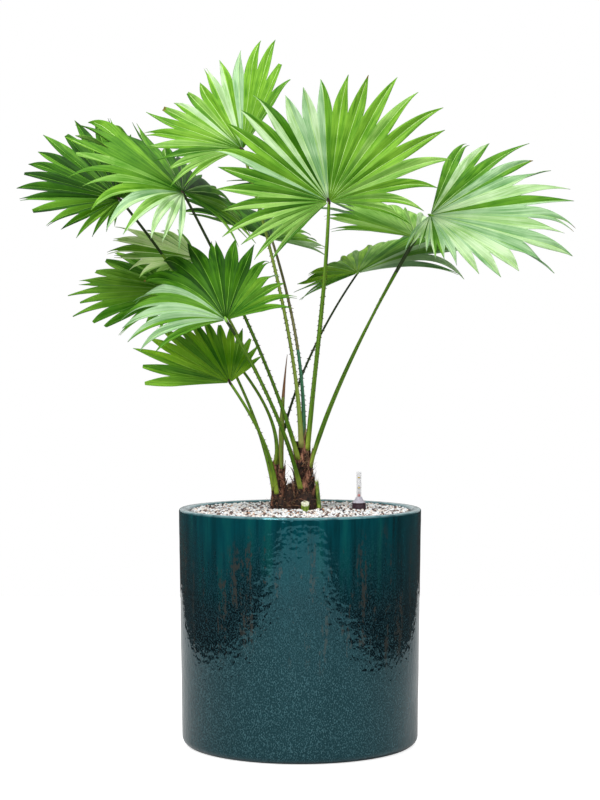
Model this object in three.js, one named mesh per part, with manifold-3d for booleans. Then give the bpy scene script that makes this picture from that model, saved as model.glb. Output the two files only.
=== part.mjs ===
// A potted footstool palm: two short fibrous stems in a glazed cylinder pot filled with
// mineral granules, thirteen fan leaves on long petioles, and a water gauge with its float.
// Millimetres, +Z up, the front of the plant faces -Y, and the origin is the centre of the
// flat underside of the pot.

import * as THREE from "three";
import { mergeVertices } from "three/addons/utils/BufferGeometryUtils.js";
import Module from "manifold-3d";

const wasm = await Module();
wasm.setup();

// Driving dimensions

const CLEARANCE = 0.3;
const WELD = 1e-4;

const POT = {
  height: 300,
  rimRadius: 155,
  footRadius: 151,
  wall: 13,
  floor: 16,
  rimRound: 5,
  innerBevel: 2.5,
  footRound: 11,
  arcSteps: 2,
  facets: 48,
};

const FILL_TOP = POT.height - 3;
const PLANT_FOOT = FILL_TOP + CLEARANCE;

const SCATTER = { leaf: 13, leaflet: 78, size: 43758 };

// A stem runs from a foot below the granules, which is cut off flat, by its lean to its tip.
const STEMS = {
  right: {
    foot: [4, 0, 286], lean: [7, -1, 345], tip: [1, 1, 386],
    footRadius: 20, waist: 12, tipRadius: 9,
  },
  left: {
    foot: [-28, 7, 288], lean: [-26, 7, 325], tip: [-28, 8, 356],
    footRadius: 12, waist: 8, tipRadius: 6,
  },
};
const STEM_MESH = { sides: 14, steps: 7, flareSharpness: 3, taperDelay: 1.5 };

const PETIOLE = {
  footRadius: 3.5,
  shaftRadius: 2.3,
  tipRadius: 1.8,
  sheathShare: 0.2, // share of the petiole that widens into its sheath
  sheathSharpness: 1.5,
  sunk: 0.5, // how far its line starts under the stem's skin
  arrivePull: 0.35,
  sides: 7,
  steps: 8,
};

const NECK = { length: 7, radius: 3, sides: 7, overlap: 1 };

const BLADE = {
  thickness: 1.8,
  pleat: 0.17, // height of a fold over the width of its leaflet
  splitMiddle: 0.7, // share of a leaflet that is joined to its neighbours, by the middle of the fan
  splitEdge: 0.32, // and beside the petiole
  fullSpread: 155, // degrees from the middle leaflet at which one would be beside the petiole
  edgeOnset: 1.6, // how late the joined share starts to change towards the petiole
  freeStation: 0.45, // where along its free part a leaflet has its second row of points
  freeWidth: 0.86, // width of the free part there over its width at the split
  freePleat: 0.6, // and height of the fold there
  lengthSpread: 0.07, // how much longer or shorter than its place asks a leaflet can be
  bendSharpness: 1.5, // how far out a leaflet starts to bend down
  steps: 12,
};

// The fan leaves. The petiole stands on its stem at a bearing seen from above and a height.
// Lean says how much it leans out of the stem there and rise for how much of its length, and
// it arrives at the hub, where all leaflets start. The middle leaflet points along aim, and
// the upper side of the blade looks along face. Spread is the angle in degrees from the middle
// to the last leaflet on each side, and fold lifts the sides towards the upper side. Lengths
// and droops run evenly from the right edge of the blade to its left: how long its leaflets
// are there, and how much they bend down.
const LEAVES = [
  {
    name: "upper_left", stem: "right", bearing: 266, height: 378, lean: 0.3, rise: 0.3,
    hub: [-71, -75, 749], arrive: [-0.3, -0.1, 1],
    aim: [-0.62, 0.52, 0.59], face: [-0.17, -0.82, 0.54],
    spread: 72, leaflets: 18, fold: 0.1,
    lengths: [125, 185, 150, 135, 140, 112, 85],
    droops: [0.1, 0.05, 0.05, 0.05, 0.1, 0.5, 0.9],
  },
  {
    name: "upper_right", stem: "right", bearing: 318, height: 374, lean: 0.1, rise: 0.3,
    hub: [35, -125, 681], arrive: [0.04, -0.3, 1],
    aim: [-0.29, 0.12, 0.95], face: [-0.05, -0.99, 0.1],
    spread: 115, leaflets: 24, fold: 0.05,
    lengths: [92, 175, 168, 152, 160, 135, 95],
    droops: [0.5, 0.2, 0.1, 0.05, 0.1, 0.25, 0.6],
  },
  {
    name: "far_left", stem: "left", bearing: 195, height: 322, lean: 0.15, rise: 0.3,
    hub: [-231, 25, 695], arrive: [-0.6, 0.05, 0.75],
    aim: [-0.85, 0.15, 0.55], face: [0.05, -0.72, 0.68],
    spread: 118, leaflets: 23, fold: 0.1,
    lengths: [70, 110, 140, 135, 140, 92, 40],
    droops: [0.2, 0.15, 0.1, 0.1, 0.15, 0.2, 0.4],
  },
  {
    name: "mid_left", stem: "right", bearing: 235, height: 362, lean: 0.45, rise: 0.3,
    hub: [-146, -48, 698], arrive: [-0.5, -0.35, 0.95],
    aim: [-0.6, 0.52, 0.6], face: [0.5, -0.38, 0.78],
    spread: 145, leaflets: 26, fold: 0,
    lengths: [100, 125, 150, 185, 148, 165, 115],
    droops: [0.7, 0.5, 0.25, 0.05, 0.25, 0.75, 0.85],
  },
  {
    name: "centre_back", stem: "right", bearing: 80, height: 376, lean: 0.35, rise: 0.3,
    hub: [-38, 155, 651], arrive: [-0.27, 0.55, 0.88],
    aim: [-0.3, 0.85, 0.45], face: [0.4, -0.35, 0.85],
    spread: 95, leaflets: 17, fold: 0.1,
    lengths: [85, 105, 125, 145, 150, 145, 130],
    droops: [0.15, 0.15, 0.15, 0.15, 0.2, 0.2, 0.2],
  },
  {
    name: "young_left", stem: "right", bearing: 160, height: 350, lean: 0.3, rise: 0.3,
    hub: [-134, 76, 622], arrive: [-0.45, 0.2, 0.9],
    aim: [-0.95, 0.1, 0.15], face: [0.1, -0.6, 0.8],
    spread: 60, leaflets: 11, fold: 0.1,
    lengths: [60, 85, 130, 125, 100, 80, 60],
    droops: [0.1, 0.1, 0.1, 0.1, 0.2, 0.3, 0.4],
  },
  {
    name: "low_back_left", stem: "left", bearing: 155, height: 350, lean: -0.3, rise: 0.3,
    hub: [-160, 106, 581], arrive: [-0.5, 0.3, 0.7],
    aim: [-1, 0.1, 0.05], face: [0, -0.6, 0.8],
    spread: 110, leaflets: 20, fold: 0.1,
    lengths: [80, 95, 130, 150, 148, 105, 60],
    droops: [0.15, 0.1, 0.05, 0.05, 0.05, 0.1, 0.15],
  },
  {
    name: "low_left", stem: "right", bearing: 250, height: 325, lean: 0.6, rise: 0.25,
    hub: [-90, -118, 538], arrive: [-0.5, -0.2, 0.8],
    aim: [-0.3, 0.45, 0.78], face: [0.05, -0.8, 0.5],
    spread: 92, leaflets: 17, fold: 0.1,
    lengths: [85, 98, 122, 135, 140, 125, 95],
    droops: [0.3, 0.3, 0.35, 0.5, 1.1, 0.9, 0.7],
  },
  {
    name: "lowest", stem: "left", bearing: 245, height: 318, lean: 0.15, rise: 0.3,
    hub: [-87, -66, 461], arrive: [-0.5, -0.1, 0.75],
    aim: [-0.43, 0.29, 0.86], face: [0.26, -0.87, 0.43],
    spread: 74, leaflets: 14, fold: 0,
    lengths: [55, 75, 85, 98, 116, 125, 122],
    droops: [0.05, 0.05, 0.05, 0.05, 0.05, 0.05, 0.1],
  },
  {
    name: "low_right", stem: "left", bearing: 90, height: 346, lean: 0.35, rise: 0.25,
    hub: [76, 90, 603], arrive: [0.55, 0.15, 0.8],
    aim: [0.15, 0.88, 0.4], face: [-0.35, -0.35, 0.85],
    spread: 112, leaflets: 19, fold: 0.05,
    lengths: [140, 160, 160, 130, 108, 95, 88],
    droops: [0.45, 0.4, 0.3, 0.2, 0.15, 0.2, 0.25],
  },
  {
    name: "far_right", stem: "right", bearing: 330, height: 352, lean: 0.25, rise: 0.25,
    hub: [161, -80, 668], arrive: [0.52, -0.1, 0.85],
    aim: [0.88, -0.34, -0.31], face: [-0.01, -0.69, 0.73],
    spread: 106, leaflets: 21, fold: 0,
    lengths: [60, 60, 95, 170, 175, 195, 200],
    droops: [0.6, 0.6, 0.45, 0.2, 0.05, 0.08, 0.15],
  },
  {
    name: "back_right", stem: "right", bearing: 10, height: 356, lean: 0.3, rise: 0.25,
    hub: [147, 0, 645], arrive: [0.5, 0, 0.85],
    aim: [-0.3, 0.82, 0.45], face: [0.25, -0.28, 0.93],
    spread: 100, leaflets: 18, fold: 0.05,
    lengths: [70, 85, 120, 140, 140, 128, 115],
    droops: [0.1, 0.1, 0.1, 0.1, 0.1, 0.1, 0.1],
  },
  {
    name: "upper_back", stem: "right", bearing: 25, height: 376, lean: 0.1, rise: 0.3,
    hub: [38, 45, 709], arrive: [0.02, 0.15, 1],
    aim: [-0.25, 0.93, 0.3], face: [0.05, -0.3, 0.95],
    spread: 98, leaflets: 18, fold: 0.1,
    lengths: [55, 70, 110, 140, 140, 135, 120],
    droops: [0.1, 0.1, 0.1, 0.1, 0.1, 0.1, 0.1],
  },
];

const SPEAR = {
  stem: "left",
  bearing: 310,
  height: 350,
  tip: [-16, -32, 496],
  bow: -5,
  rootRadius: 3,
  bellyRadius: 3.4,
  tipRadius: 0.4,
  bellyShare: 0.35,
  sides: 7,
  steps: 8,
};

const STUBS = [
  { name: "cut_stub_front", foot: [7, -24, 290], tip: [7.5, -25, 312], footRadius: 4.6, tipRadius: 5.4 },
  { name: "cut_stub_side", foot: [27, -4, 290], tip: [23.6, -3, 332], footRadius: 3.4, tipRadius: 2.4 },
];
const STUB_MESH = { sides: 8, steps: 2 };

const GAUGE = {
  place: [75.5, 6],
  collarRadius: 9,
  collarSkirt: 8,
  collarHeight: 16.3,
  collarShoulder: 2,
  collarNeck: 0.8,
  tubeRadius: 3.2,
  tubeWall: 0.7,
  tubeCap: 1.2,
  tubeRound: 0.6,
  tubeHeight: 32,
  floatRadius: 1.1,
  floatHeight: 15,
  facets: 16,
};

// Solids and meshes

function solidFrom(geometry) {
  const bare = geometry.clone();
  bare.deleteAttribute("normal");
  bare.deleteAttribute("uv");
  const merged = mergeVertices(bare, WELD);
  return new wasm.Manifold(
    new wasm.Mesh({
      numProp: 3,
      vertProperties: new Float32Array(merged.attributes.position.array),
      triVerts: new Uint32Array(merged.index.array),
    }),
  );
}

function geometryFrom(solid) {
  const { vertProperties, triVerts, numProp } = solid.getMesh();
  const positions = new Float32Array((vertProperties.length / numProp) * 3);
  for (let i = 0; i < positions.length / 3; i++)
    for (let k = 0; k < 3; k++) positions[3 * i + k] = vertProperties[numProp * i + k];
  const geometry = new THREE.BufferGeometry();
  geometry.setAttribute("position", new THREE.BufferAttribute(positions, 3));
  geometry.setIndex(new THREE.BufferAttribute(new Uint32Array(triVerts), 1));
  geometry.computeVertexNormals();
  return geometry;
}

function indexed(points, triangles) {
  const geometry = new THREE.BufferGeometry().setFromPoints(points);
  geometry.setIndex(triangles);
  geometry.computeVertexNormals();
  return geometry;
}

// A profile of radius and height turned round +Z.
function turned(profile, facets) {
  return new THREE.LatheGeometry(profile, facets).rotateX(Math.PI / 2);
}

// One tapering limb: round sections along a curve, with flat ends.
function limb(curve, radiusAt, sides, steps) {
  const frames = curve.computeFrenetFrames(steps, false);
  const points = [];
  const triangles = [];
  for (let i = 0; i <= steps; i++) {
    const centre = curve.getPointAt(i / steps);
    const radius = radiusAt(i / steps);
    for (let k = 0; k < sides; k++) {
      const turn = (2 * Math.PI * k) / sides;
      points.push(
        centre
          .clone()
          .addScaledVector(frames.normals[i], radius * Math.cos(turn))
          .addScaledVector(frames.binormals[i], radius * Math.sin(turn)),
      );
    }
  }
  for (let i = 0; i < steps; i++)
    for (let k = 0; k < sides; k++) {
      const a = i * sides + k;
      const b = i * sides + ((k + 1) % sides);
      triangles.push(a, b, b + sides, a, b + sides, a + sides);
    }
  for (let k = 1; k < sides - 1; k++) {
    const last = steps * sides;
    triangles.push(0, k + 1, k, last, last + k, last + k + 1);
  }
  return indexed(points, triangles);
}

function vector(list) {
  return new THREE.Vector3(...list);
}

// A number from 0 to 1 that depends only on a leaf and a leaflet.
function vary(leaf, leaflet) {
  const wave = Math.sin(leaf * SCATTER.leaf + leaflet * SCATTER.leaflet) * SCATTER.size;
  return wave - Math.floor(wave);
}

// Stems

function stemCurve(stem) {
  return new THREE.QuadraticBezierCurve3(vector(stem.foot), vector(stem.lean), vector(stem.tip));
}

function stemRadius(stem, share) {
  const flare = (stem.footRadius - stem.waist) * (1 - share) ** STEM_MESH.flareSharpness;
  return flare + THREE.MathUtils.lerp(stem.waist, stem.tipRadius, share ** STEM_MESH.taperDelay);
}

function cutAtGranules(geometry) {
  return solidFrom(geometry).trimByPlane([0, 0, 1], PLANT_FOOT);
}

function stemSolid(stem, extra) {
  const radiusAt = (share) => stemRadius(stem, share) + extra;
  return cutAtGranules(limb(stemCurve(stem), radiusAt, STEM_MESH.sides, STEM_MESH.steps));
}

// What is left of a piece that stands on a stem once the stem and its clearance are cut away.
function seatedOn(stemName, geometry) {
  const parts = solidFrom(geometry).subtract(stemSolid(STEMS[stemName], CLEARANCE)).decompose();
  return geometryFrom(parts.reduce((a, b) => (a.volume() > b.volume() ? a : b)));
}

// Where a piece stands on its stem: a point under the stem's skin, and the way out of it.
function seat({ stem: stemName, bearing, height }) {
  const stem = STEMS[stemName];
  const share = (height - stem.foot[2]) / (stem.tip[2] - stem.foot[2]);
  const turn = THREE.MathUtils.degToRad(bearing);
  const out = new THREE.Vector3(Math.cos(turn), Math.sin(turn), 0);
  const point = stemCurve(stem).getPointAt(share);
  return { point: point.addScaledVector(out, stemRadius(stem, share) - PETIOLE.sunk), out };
}

// Petioles

function petioleCurve(leaf) {
  const { point: foot, out } = seat(leaf);
  const arrive = vector(leaf.arrive).normalize();
  const end = vector(leaf.hub).addScaledVector(arrive, -(NECK.length + CLEARANCE));
  const span = end.distanceTo(foot);
  const leave = out.multiplyScalar(leaf.lean).add(new THREE.Vector3(0, 0, 1)).normalize();
  return new THREE.CubicBezierCurve3(
    foot,
    foot.clone().addScaledVector(leave, leaf.rise * span),
    end.clone().addScaledVector(arrive, -PETIOLE.arrivePull * span),
    end,
  );
}

function petioleRadius(share) {
  const sheath = Math.max(0, 1 - share / PETIOLE.sheathShare) ** PETIOLE.sheathSharpness;
  const shaft = THREE.MathUtils.lerp(PETIOLE.shaftRadius, PETIOLE.tipRadius, share);
  return shaft + (PETIOLE.footRadius - PETIOLE.shaftRadius) * sheath;
}

function petiole(leaf) {
  return seatedOn(leaf.stem, limb(petioleCurve(leaf), petioleRadius, PETIOLE.sides, PETIOLE.steps));
}

// Fan leaves

// 0 for the middle leaflet of a blade, 1 for one beside the petiole.
function edgeShare(angle) {
  return (Math.abs(angle) / THREE.MathUtils.degToRad(BLADE.fullSpread)) ** BLADE.edgeOnset;
}

// What a leaf's lengths or droops say for the leaflet at an angle.
function listed(leaf, values, angle) {
  const spread = THREE.MathUtils.degToRad(leaf.spread);
  const place = THREE.MathUtils.clamp((angle + spread) / (2 * spread), 0, 1) * (values.length - 1);
  const before = Math.min(Math.floor(place), values.length - 2);
  return THREE.MathUtils.lerp(values[before], values[before + 1], place - before);
}

// How far out the leaflet at an angle is joined to its neighbours.
function splitAt(leaf, angle) {
  const joined = THREE.MathUtils.lerp(BLADE.splitMiddle, BLADE.splitEdge, edgeShare(angle));
  return listed(leaf, leaf.lengths, angle) * joined;
}

// The directions of a blade, and the place of any point on it: by its angle from the middle
// leaflet, its distance from the hub along the leaflet, and its offsets across and up.
function bladeFrame(leaf) {
  const aim = vector(leaf.aim).normalize();
  const face = vector(leaf.face);
  face.addScaledVector(aim, -face.dot(aim)).normalize();
  const side = face.clone().cross(aim);
  const hub = vector(leaf.hub);

  function heading(angle, distance) {
    const lift = leaf.fold * Math.abs(Math.sin(angle));
    const run = distance / listed(leaf, leaf.lengths, angle);
    const fall = listed(leaf, leaf.droops, angle) * run ** BLADE.bendSharpness;
    return aim
      .clone()
      .multiplyScalar(Math.cos(angle))
      .addScaledVector(side, Math.sin(angle))
      .addScaledVector(face, lift)
      .normalize()
      .add(new THREE.Vector3(0, 0, -fall))
      .normalize();
  }

  return function place(angle, distance, across, up) {
    const point = hub.clone();
    const stride = distance / BLADE.steps;
    for (let i = 0; i < BLADE.steps; i++)
      point.addScaledVector(heading(angle, (i + 0.5) * stride), stride);
    const along = heading(angle, distance);
    const lateral = aim
      .clone()
      .multiplyScalar(-Math.sin(angle))
      .addScaledVector(side, Math.cos(angle));
    lateral.addScaledVector(along, -lateral.dot(along)).normalize();
    const normal = along.clone().cross(lateral);
    point.addScaledVector(lateral, across).addScaledVector(normal, up);
    return { point, normal };
  };
}

function blade(leaf, index) {
  const place = bladeFrame(leaf);
  const points = [];
  const triangles = [];
  const spread = THREE.MathUtils.degToRad(leaf.spread);
  const step = (2 * spread) / leaf.leaflets;
  const half = BLADE.thickness / 2;

  // The upper and the lower point at one place of the blade.
  function pair(angle, distance, across, up) {
    const { point, normal } = place(angle, distance, across, up);
    points.push(point.clone().addScaledVector(normal, half), point.clone().addScaledVector(normal, -half));
    return [points.length - 2, points.length - 1];
  }
  // A face of the upper side with the face of the lower side under it.
  function skin(...corners) {
    for (let i = 1; i < corners.length - 1; i++) {
      triangles.push(corners[0][0], corners[i][0], corners[i + 1][0]);
      triangles.push(corners[0][1], corners[i + 1][1], corners[i][1]);
    }
  }
  // The rim between both sides, from one place to the next or to or from a tip.
  function edge(from, to) {
    triangles.push(from[0], to[0], to[1], from[0], to[1], from[1]);
  }
  function edgeToTip(from, tip) {
    triangles.push(from[0], tip, from[1]);
  }
  function edgeFromTip(tip, to) {
    triangles.push(tip, to[0], to[1]);
  }

  // Half the height of the fold of a leaflet at a distance from the hub.
  const crest = (distance) => (BLADE.pleat * distance * step) / 2;

  const hub = pair(0, 0, 0, 0);
  const ridges = [];
  for (let k = 0; k <= leaf.leaflets; k++) {
    const angle = -spread + k * step;
    const split = splitAt(leaf, angle);
    ridges.push({ edge: pair(angle, split, 0, crest(split)), split });
  }

  for (let k = 0; k < leaf.leaflets; k++) {
    const angle = -spread + (k + 0.5) * step;
    const [before, after] = [ridges[k], ridges[k + 1]];
    const split = (before.split + after.split) / 2;
    const uneven = 1 + BLADE.lengthSpread * (2 * vary(index, k) - 1);
    const length = listed(leaf, leaf.lengths, angle) * uneven;
    const station = THREE.MathUtils.lerp(split, length, BLADE.freeStation);
    const halfWidth = split * Math.tan(step / 2) * BLADE.freeWidth;
    const rib = pair(angle, split, 0, -crest(split));
    const midRib = pair(angle, station, 0, -crest(split) * BLADE.freePleat);
    const midBefore = pair(angle, station, -halfWidth, crest(split) * BLADE.freePleat);
    const midAfter = pair(angle, station, halfWidth, crest(split) * BLADE.freePleat);
    points.push(place(angle, length, 0, 0).point);
    const tip = points.length - 1;

    skin(hub, before.edge, rib);
    skin(hub, rib, after.edge);
    skin(before.edge, midBefore, midRib, rib);
    skin(rib, midRib, midAfter, after.edge);
    skin(midBefore, [tip, tip], midRib);
    skin(midRib, [tip, tip], midAfter);
    edge(midBefore, before.edge);
    edgeFromTip(tip, midBefore);
    edge(after.edge, midAfter);
    edgeToTip(midAfter, tip);
  }
  edge(ridges[0].edge, hub);
  edge(hub, ridges[leaf.leaflets].edge);
  return indexed(points, triangles);
}

// The neck under a blade, which the petiole meets face to face.
function neck(leaf) {
  const arrive = vector(leaf.arrive).normalize();
  const length = NECK.length + NECK.overlap;
  const middle = vector(leaf.hub).addScaledVector(arrive, NECK.overlap - length / 2);
  const turn = new THREE.Quaternion().setFromUnitVectors(new THREE.Vector3(0, 1, 0), arrive);
  return new THREE.CylinderGeometry(NECK.radius, PETIOLE.tipRadius, length, NECK.sides)
    .applyQuaternion(turn)
    .translate(middle.x, middle.y, middle.z);
}

function fan(leaf, index) {
  return geometryFrom(solidFrom(blade(leaf, index)).add(solidFrom(neck(leaf))));
}

// The young leaf that is still closed, standing on its stem as a spear.
function spear() {
  const { point: foot } = seat(SPEAR);
  const tip = vector(SPEAR.tip);
  const middle = foot.clone().lerp(tip, 0.5).add(new THREE.Vector3(SPEAR.bow, 0, 0));
  const radiusAt = (share) =>
    share < SPEAR.bellyShare
      ? THREE.MathUtils.lerp(SPEAR.rootRadius, SPEAR.bellyRadius, share / SPEAR.bellyShare)
      : THREE.MathUtils.mapLinear(share, SPEAR.bellyShare, 1, SPEAR.bellyRadius, SPEAR.tipRadius);
  const curve = new THREE.QuadraticBezierCurve3(foot, middle, tip);
  return seatedOn(SPEAR.stem, limb(curve, radiusAt, SPEAR.sides, SPEAR.steps));
}

// What is left of a petiole that was cut off.
function stub({ foot, tip, footRadius, tipRadius }) {
  const line = new THREE.LineCurve3(vector(foot), vector(tip));
  const radiusAt = (share) => THREE.MathUtils.lerp(footRadius, tipRadius, share);
  return geometryFrom(cutAtGranules(limb(line, radiusAt, STUB_MESH.sides, STUB_MESH.steps)));
}

// Pot and fill

function potInnerRadius(height) {
  return THREE.MathUtils.lerp(POT.footRadius, POT.rimRadius, height / POT.height) - POT.wall;
}

function pot() {
  const { height, rimRadius, footRadius, wall, floor, rimRound, innerBevel, footRound } = POT;
  const outline = new THREE.Path();
  outline.moveTo(0, 0);
  outline.lineTo(footRadius - footRound, 0);
  outline.absarc(footRadius - footRound, footRound, footRound, -Math.PI / 2, 0, false);
  outline.lineTo(rimRadius, height - rimRound);
  outline.absarc(rimRadius - rimRound, height - rimRound, rimRound, 0, Math.PI / 2, false);
  outline.lineTo(rimRadius - wall + innerBevel, height);
  outline.lineTo(rimRadius - wall, height - innerBevel);
  outline.lineTo(potInnerRadius(floor), floor);
  outline.lineTo(0, floor);
  return turned(outline.getPoints(POT.arcSteps), POT.facets);
}

function fill() {
  const bottom = POT.floor + CLEARANCE;
  return turned(
    [
      new THREE.Vector2(0, bottom),
      new THREE.Vector2(potInnerRadius(bottom) - CLEARANCE, bottom),
      new THREE.Vector2(potInnerRadius(FILL_TOP) - CLEARANCE, FILL_TOP),
      new THREE.Vector2(0, FILL_TOP),
    ],
    POT.facets,
  );
}

// Water gauge: a bell shaped collar on the granules, a clear tube on it, and the float inside

function gaugeCollar() {
  const { collarRadius, collarSkirt, collarHeight, collarShoulder, collarNeck, tubeRadius, facets } = GAUGE;
  return turned(
    [
      new THREE.Vector2(0, 0),
      new THREE.Vector2(collarRadius, 0),
      new THREE.Vector2(collarRadius, collarSkirt),
      new THREE.Vector2(tubeRadius + collarShoulder, collarHeight - collarShoulder),
      new THREE.Vector2(tubeRadius + collarNeck, collarHeight),
      new THREE.Vector2(0, collarHeight),
    ],
    facets,
  );
}

function gaugeTube() {
  const { tubeRadius, tubeWall, tubeCap, tubeRound, tubeHeight, facets } = GAUGE;
  return turned(
    [
      new THREE.Vector2(tubeRadius - tubeWall, 0),
      new THREE.Vector2(tubeRadius, 0),
      new THREE.Vector2(tubeRadius, tubeHeight - tubeRound),
      new THREE.Vector2(tubeRadius - tubeRound, tubeHeight),
      new THREE.Vector2(0, tubeHeight),
      new THREE.Vector2(0, tubeHeight - tubeCap),
      new THREE.Vector2(tubeRadius - tubeWall, tubeHeight - tubeCap),
      new THREE.Vector2(tubeRadius - tubeWall, 0),
    ],
    facets,
  );
}

function gaugeFloat() {
  const { floatRadius, floatHeight, facets } = GAUGE;
  return new THREE.CylinderGeometry(floatRadius, floatRadius, floatHeight, facets).rotateX(Math.PI / 2);
}

// Materials

const finish = (color, roughness) => new THREE.MeshStandardMaterial({ color, roughness, metalness: 0 });
const glaze = finish(0x1c4a50, 0.18);
const granules = finish(0xb5aca3, 0.95);
const fibre = finish(0x3a2419, 0.95);
const stalkGreen = finish(0x5c8a2c, 0.5);
const leafGreen = finish(0x4f9a24, 0.45);
const spearBrown = finish(0x8a7a4a, 0.7);
const stubGreen = finish(0xa8b04a, 0.7);
const clearPlastic = finish(0xdfe3e4, 0.1);
const smokedPlastic = finish(0x4a4450, 0.25);
const floatRed = finish(0xc03a20, 0.5);

// Assembly

const palm = new THREE.Group();

function add(name, geometry, material, place = [0, 0, 0]) {
  const mesh = new THREE.Mesh(geometry, material);
  mesh.name = name;
  mesh.position.set(...place);
  palm.add(mesh);
}

add("pot", pot(), glaze);
add("granule_fill", fill(), granules);
for (const [name, stem] of Object.entries(STEMS)) {
  add(`stem_${name}`, geometryFrom(stemSolid(stem, 0)), fibre);
}
LEAVES.forEach((leaf, index) => {
  add(`petiole_${leaf.name}`, petiole(leaf), stalkGreen);
  add(`fan_${leaf.name}`, fan(leaf, index), leafGreen);
});
add("spear_leaf", spear(), spearBrown);
for (const piece of STUBS) add(piece.name, stub(piece), stubGreen);

const tubeFoot = PLANT_FOOT + GAUGE.collarHeight + CLEARANCE;
add("gauge_collar", gaugeCollar(), smokedPlastic, [...GAUGE.place, PLANT_FOOT]);
add("gauge_tube", gaugeTube(), clearPlastic, [...GAUGE.place, tubeFoot]);
add("gauge_float", gaugeFloat(), floatRed, [...GAUGE.place, tubeFoot + GAUGE.floatHeight / 2]);

export default palm;
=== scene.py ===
# A potted footstool palm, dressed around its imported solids: thirteen fan leaves with folded,
# split leaflets on spiny petioles, two fibrous stems, a streaked teal pot full of mineral
# granules, and a water gauge. Shapes are worked out in millimetres and stored in metres.

import random
from math import ceil, cos, degrees, hypot, pi, radians, sin, sqrt
from types import SimpleNamespace as Values

import bpy
from mathutils import Matrix, Vector, noise

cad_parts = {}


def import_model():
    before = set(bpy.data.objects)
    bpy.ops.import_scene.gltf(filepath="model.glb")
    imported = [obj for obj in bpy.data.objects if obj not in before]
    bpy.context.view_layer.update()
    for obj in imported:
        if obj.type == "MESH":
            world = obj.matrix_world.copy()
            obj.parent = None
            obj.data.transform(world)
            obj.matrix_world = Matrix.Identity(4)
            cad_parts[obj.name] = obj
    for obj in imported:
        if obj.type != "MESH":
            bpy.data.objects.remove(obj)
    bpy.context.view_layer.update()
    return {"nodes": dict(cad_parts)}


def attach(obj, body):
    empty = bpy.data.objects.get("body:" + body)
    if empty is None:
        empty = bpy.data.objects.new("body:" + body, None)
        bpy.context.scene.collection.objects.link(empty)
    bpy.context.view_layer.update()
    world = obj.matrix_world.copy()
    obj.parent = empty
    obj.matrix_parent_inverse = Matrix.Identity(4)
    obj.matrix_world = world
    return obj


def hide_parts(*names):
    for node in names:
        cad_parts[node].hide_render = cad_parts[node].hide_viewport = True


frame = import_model()

MM = 0.001
UP = Vector((0, 0, 1))
DOWN = -UP

# The pot and the stems as the solids have them, but for the roundings of the pot's lip. Seed,
# sheaths and strands are for the bark and the fibres of a stem, which only the scene has.

POT = Values(
    height=300, rim_radius=155, foot_radius=151, wall=13, floor=16, foot_round=11, lip_outer=3, lip_inner=5,
)
FILL_TOP = 297
PLANT_FOOT = 297.3
CLEARANCE = 0.3

STEMS = {
    "right": Values(
        foot=(4, 0, 286), lean=(7, -1, 345), tip=(1, 1, 386),
        foot_radius=20, waist=12, tip_radius=9, seed=11, sheaths=46, strands=420,
    ),
    "left": Values(
        foot=(-28, 7, 288), lean=(-26, 7, 325), tip=(-28, 8, 356),
        foot_radius=12, waist=8, tip_radius=6, seed=23, sheaths=26, strands=220,
    ),
}
STEM_FLARE_SHARPNESS = 3
STEM_TAPER_DELAY = 1.5

# The petioles are oval here and have longer sheaths than the round ones of the solids.
NECK_LENGTH = 7
PETIOLE = Values(
    shaft=2.3, tip=1.8, foot=3.7, sheath_share=0.3, sheath_sharpness=1.6, sunk=0.5, arrive_pull=0.35,
    depth_share=0.85, most_depth=2.4, dark_girth=0.75, bare_share=0.42, sides=12, steps=48,
)
SPINES = Values(start=0.07, end=0.72, apart=(6.0, 13.0), length=(1.6, 2.9), shrink=0.4)

# The blades run as those of the solids do, with deeper folds, more rows and less thickness.
BLADE = Values(
    pleat=0.27, split_middle=0.7, split_edge=0.32, full_spread=radians(155), edge_onset=1.6,
    bend_sharpness=1.5, length_spread=0.07, thickness=0.5, hub_radius=3.0,
    joined_steps=8, free_steps=11, stride=6.0, rib_half_width=0.42, bulge=0.05,
    taper=1.6, narrowest=0.03, flattened=0.5, shallower=0.4,
)
INNER = (0.36, 0.72)  # columns of a half leaflet between its edge and its rib
RIB_COLUMN = len(INNER) + 1  # the column of faces beside the rib, from a leaflet's edge
STRAY = Values(fall=0.26, sway=0.11, lift=0.14, twist=0.55)
ENDS = Values(fork_from=(0.55, 0.8), blunt_cut=(0.72, 0.86), brown=0.06, fork_narrows=0.45, fork_opens=0.97)
TINT_DRIFT = 0.55
# The share of leaflet halves given the next darker tint, as painted shade in their folds
FOLD_SHADE_SHARE = 0.3

# The leaves. All values up to the droops are the solids' own. Tints run from the right edge of
# a blade to its left; they are partly the leaves' own tones and partly painted light, with deep
# and dark tints for painted shade and silver tints for painted sheen. Under, rib and stalk name
# colours too, and a petiole is dark over its upper share dark_top. Bifid and blunt are the shares
# of leaflets that end forked or cut off, and wild says how far leaflets stray from their blade.
LEAF_DEFAULTS = {
    "stem": "right", "rise": 0.3, "fold": 0.1, "under": "soft", "rib": "soft", "stalk": "green",
    "dark_top": 0.0, "blunt": 0.0,
}
LEAVES = {}


def add_leaf(name, **values):
    LEAVES[name] = Values(**{**LEAF_DEFAULTS, **values})


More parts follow.
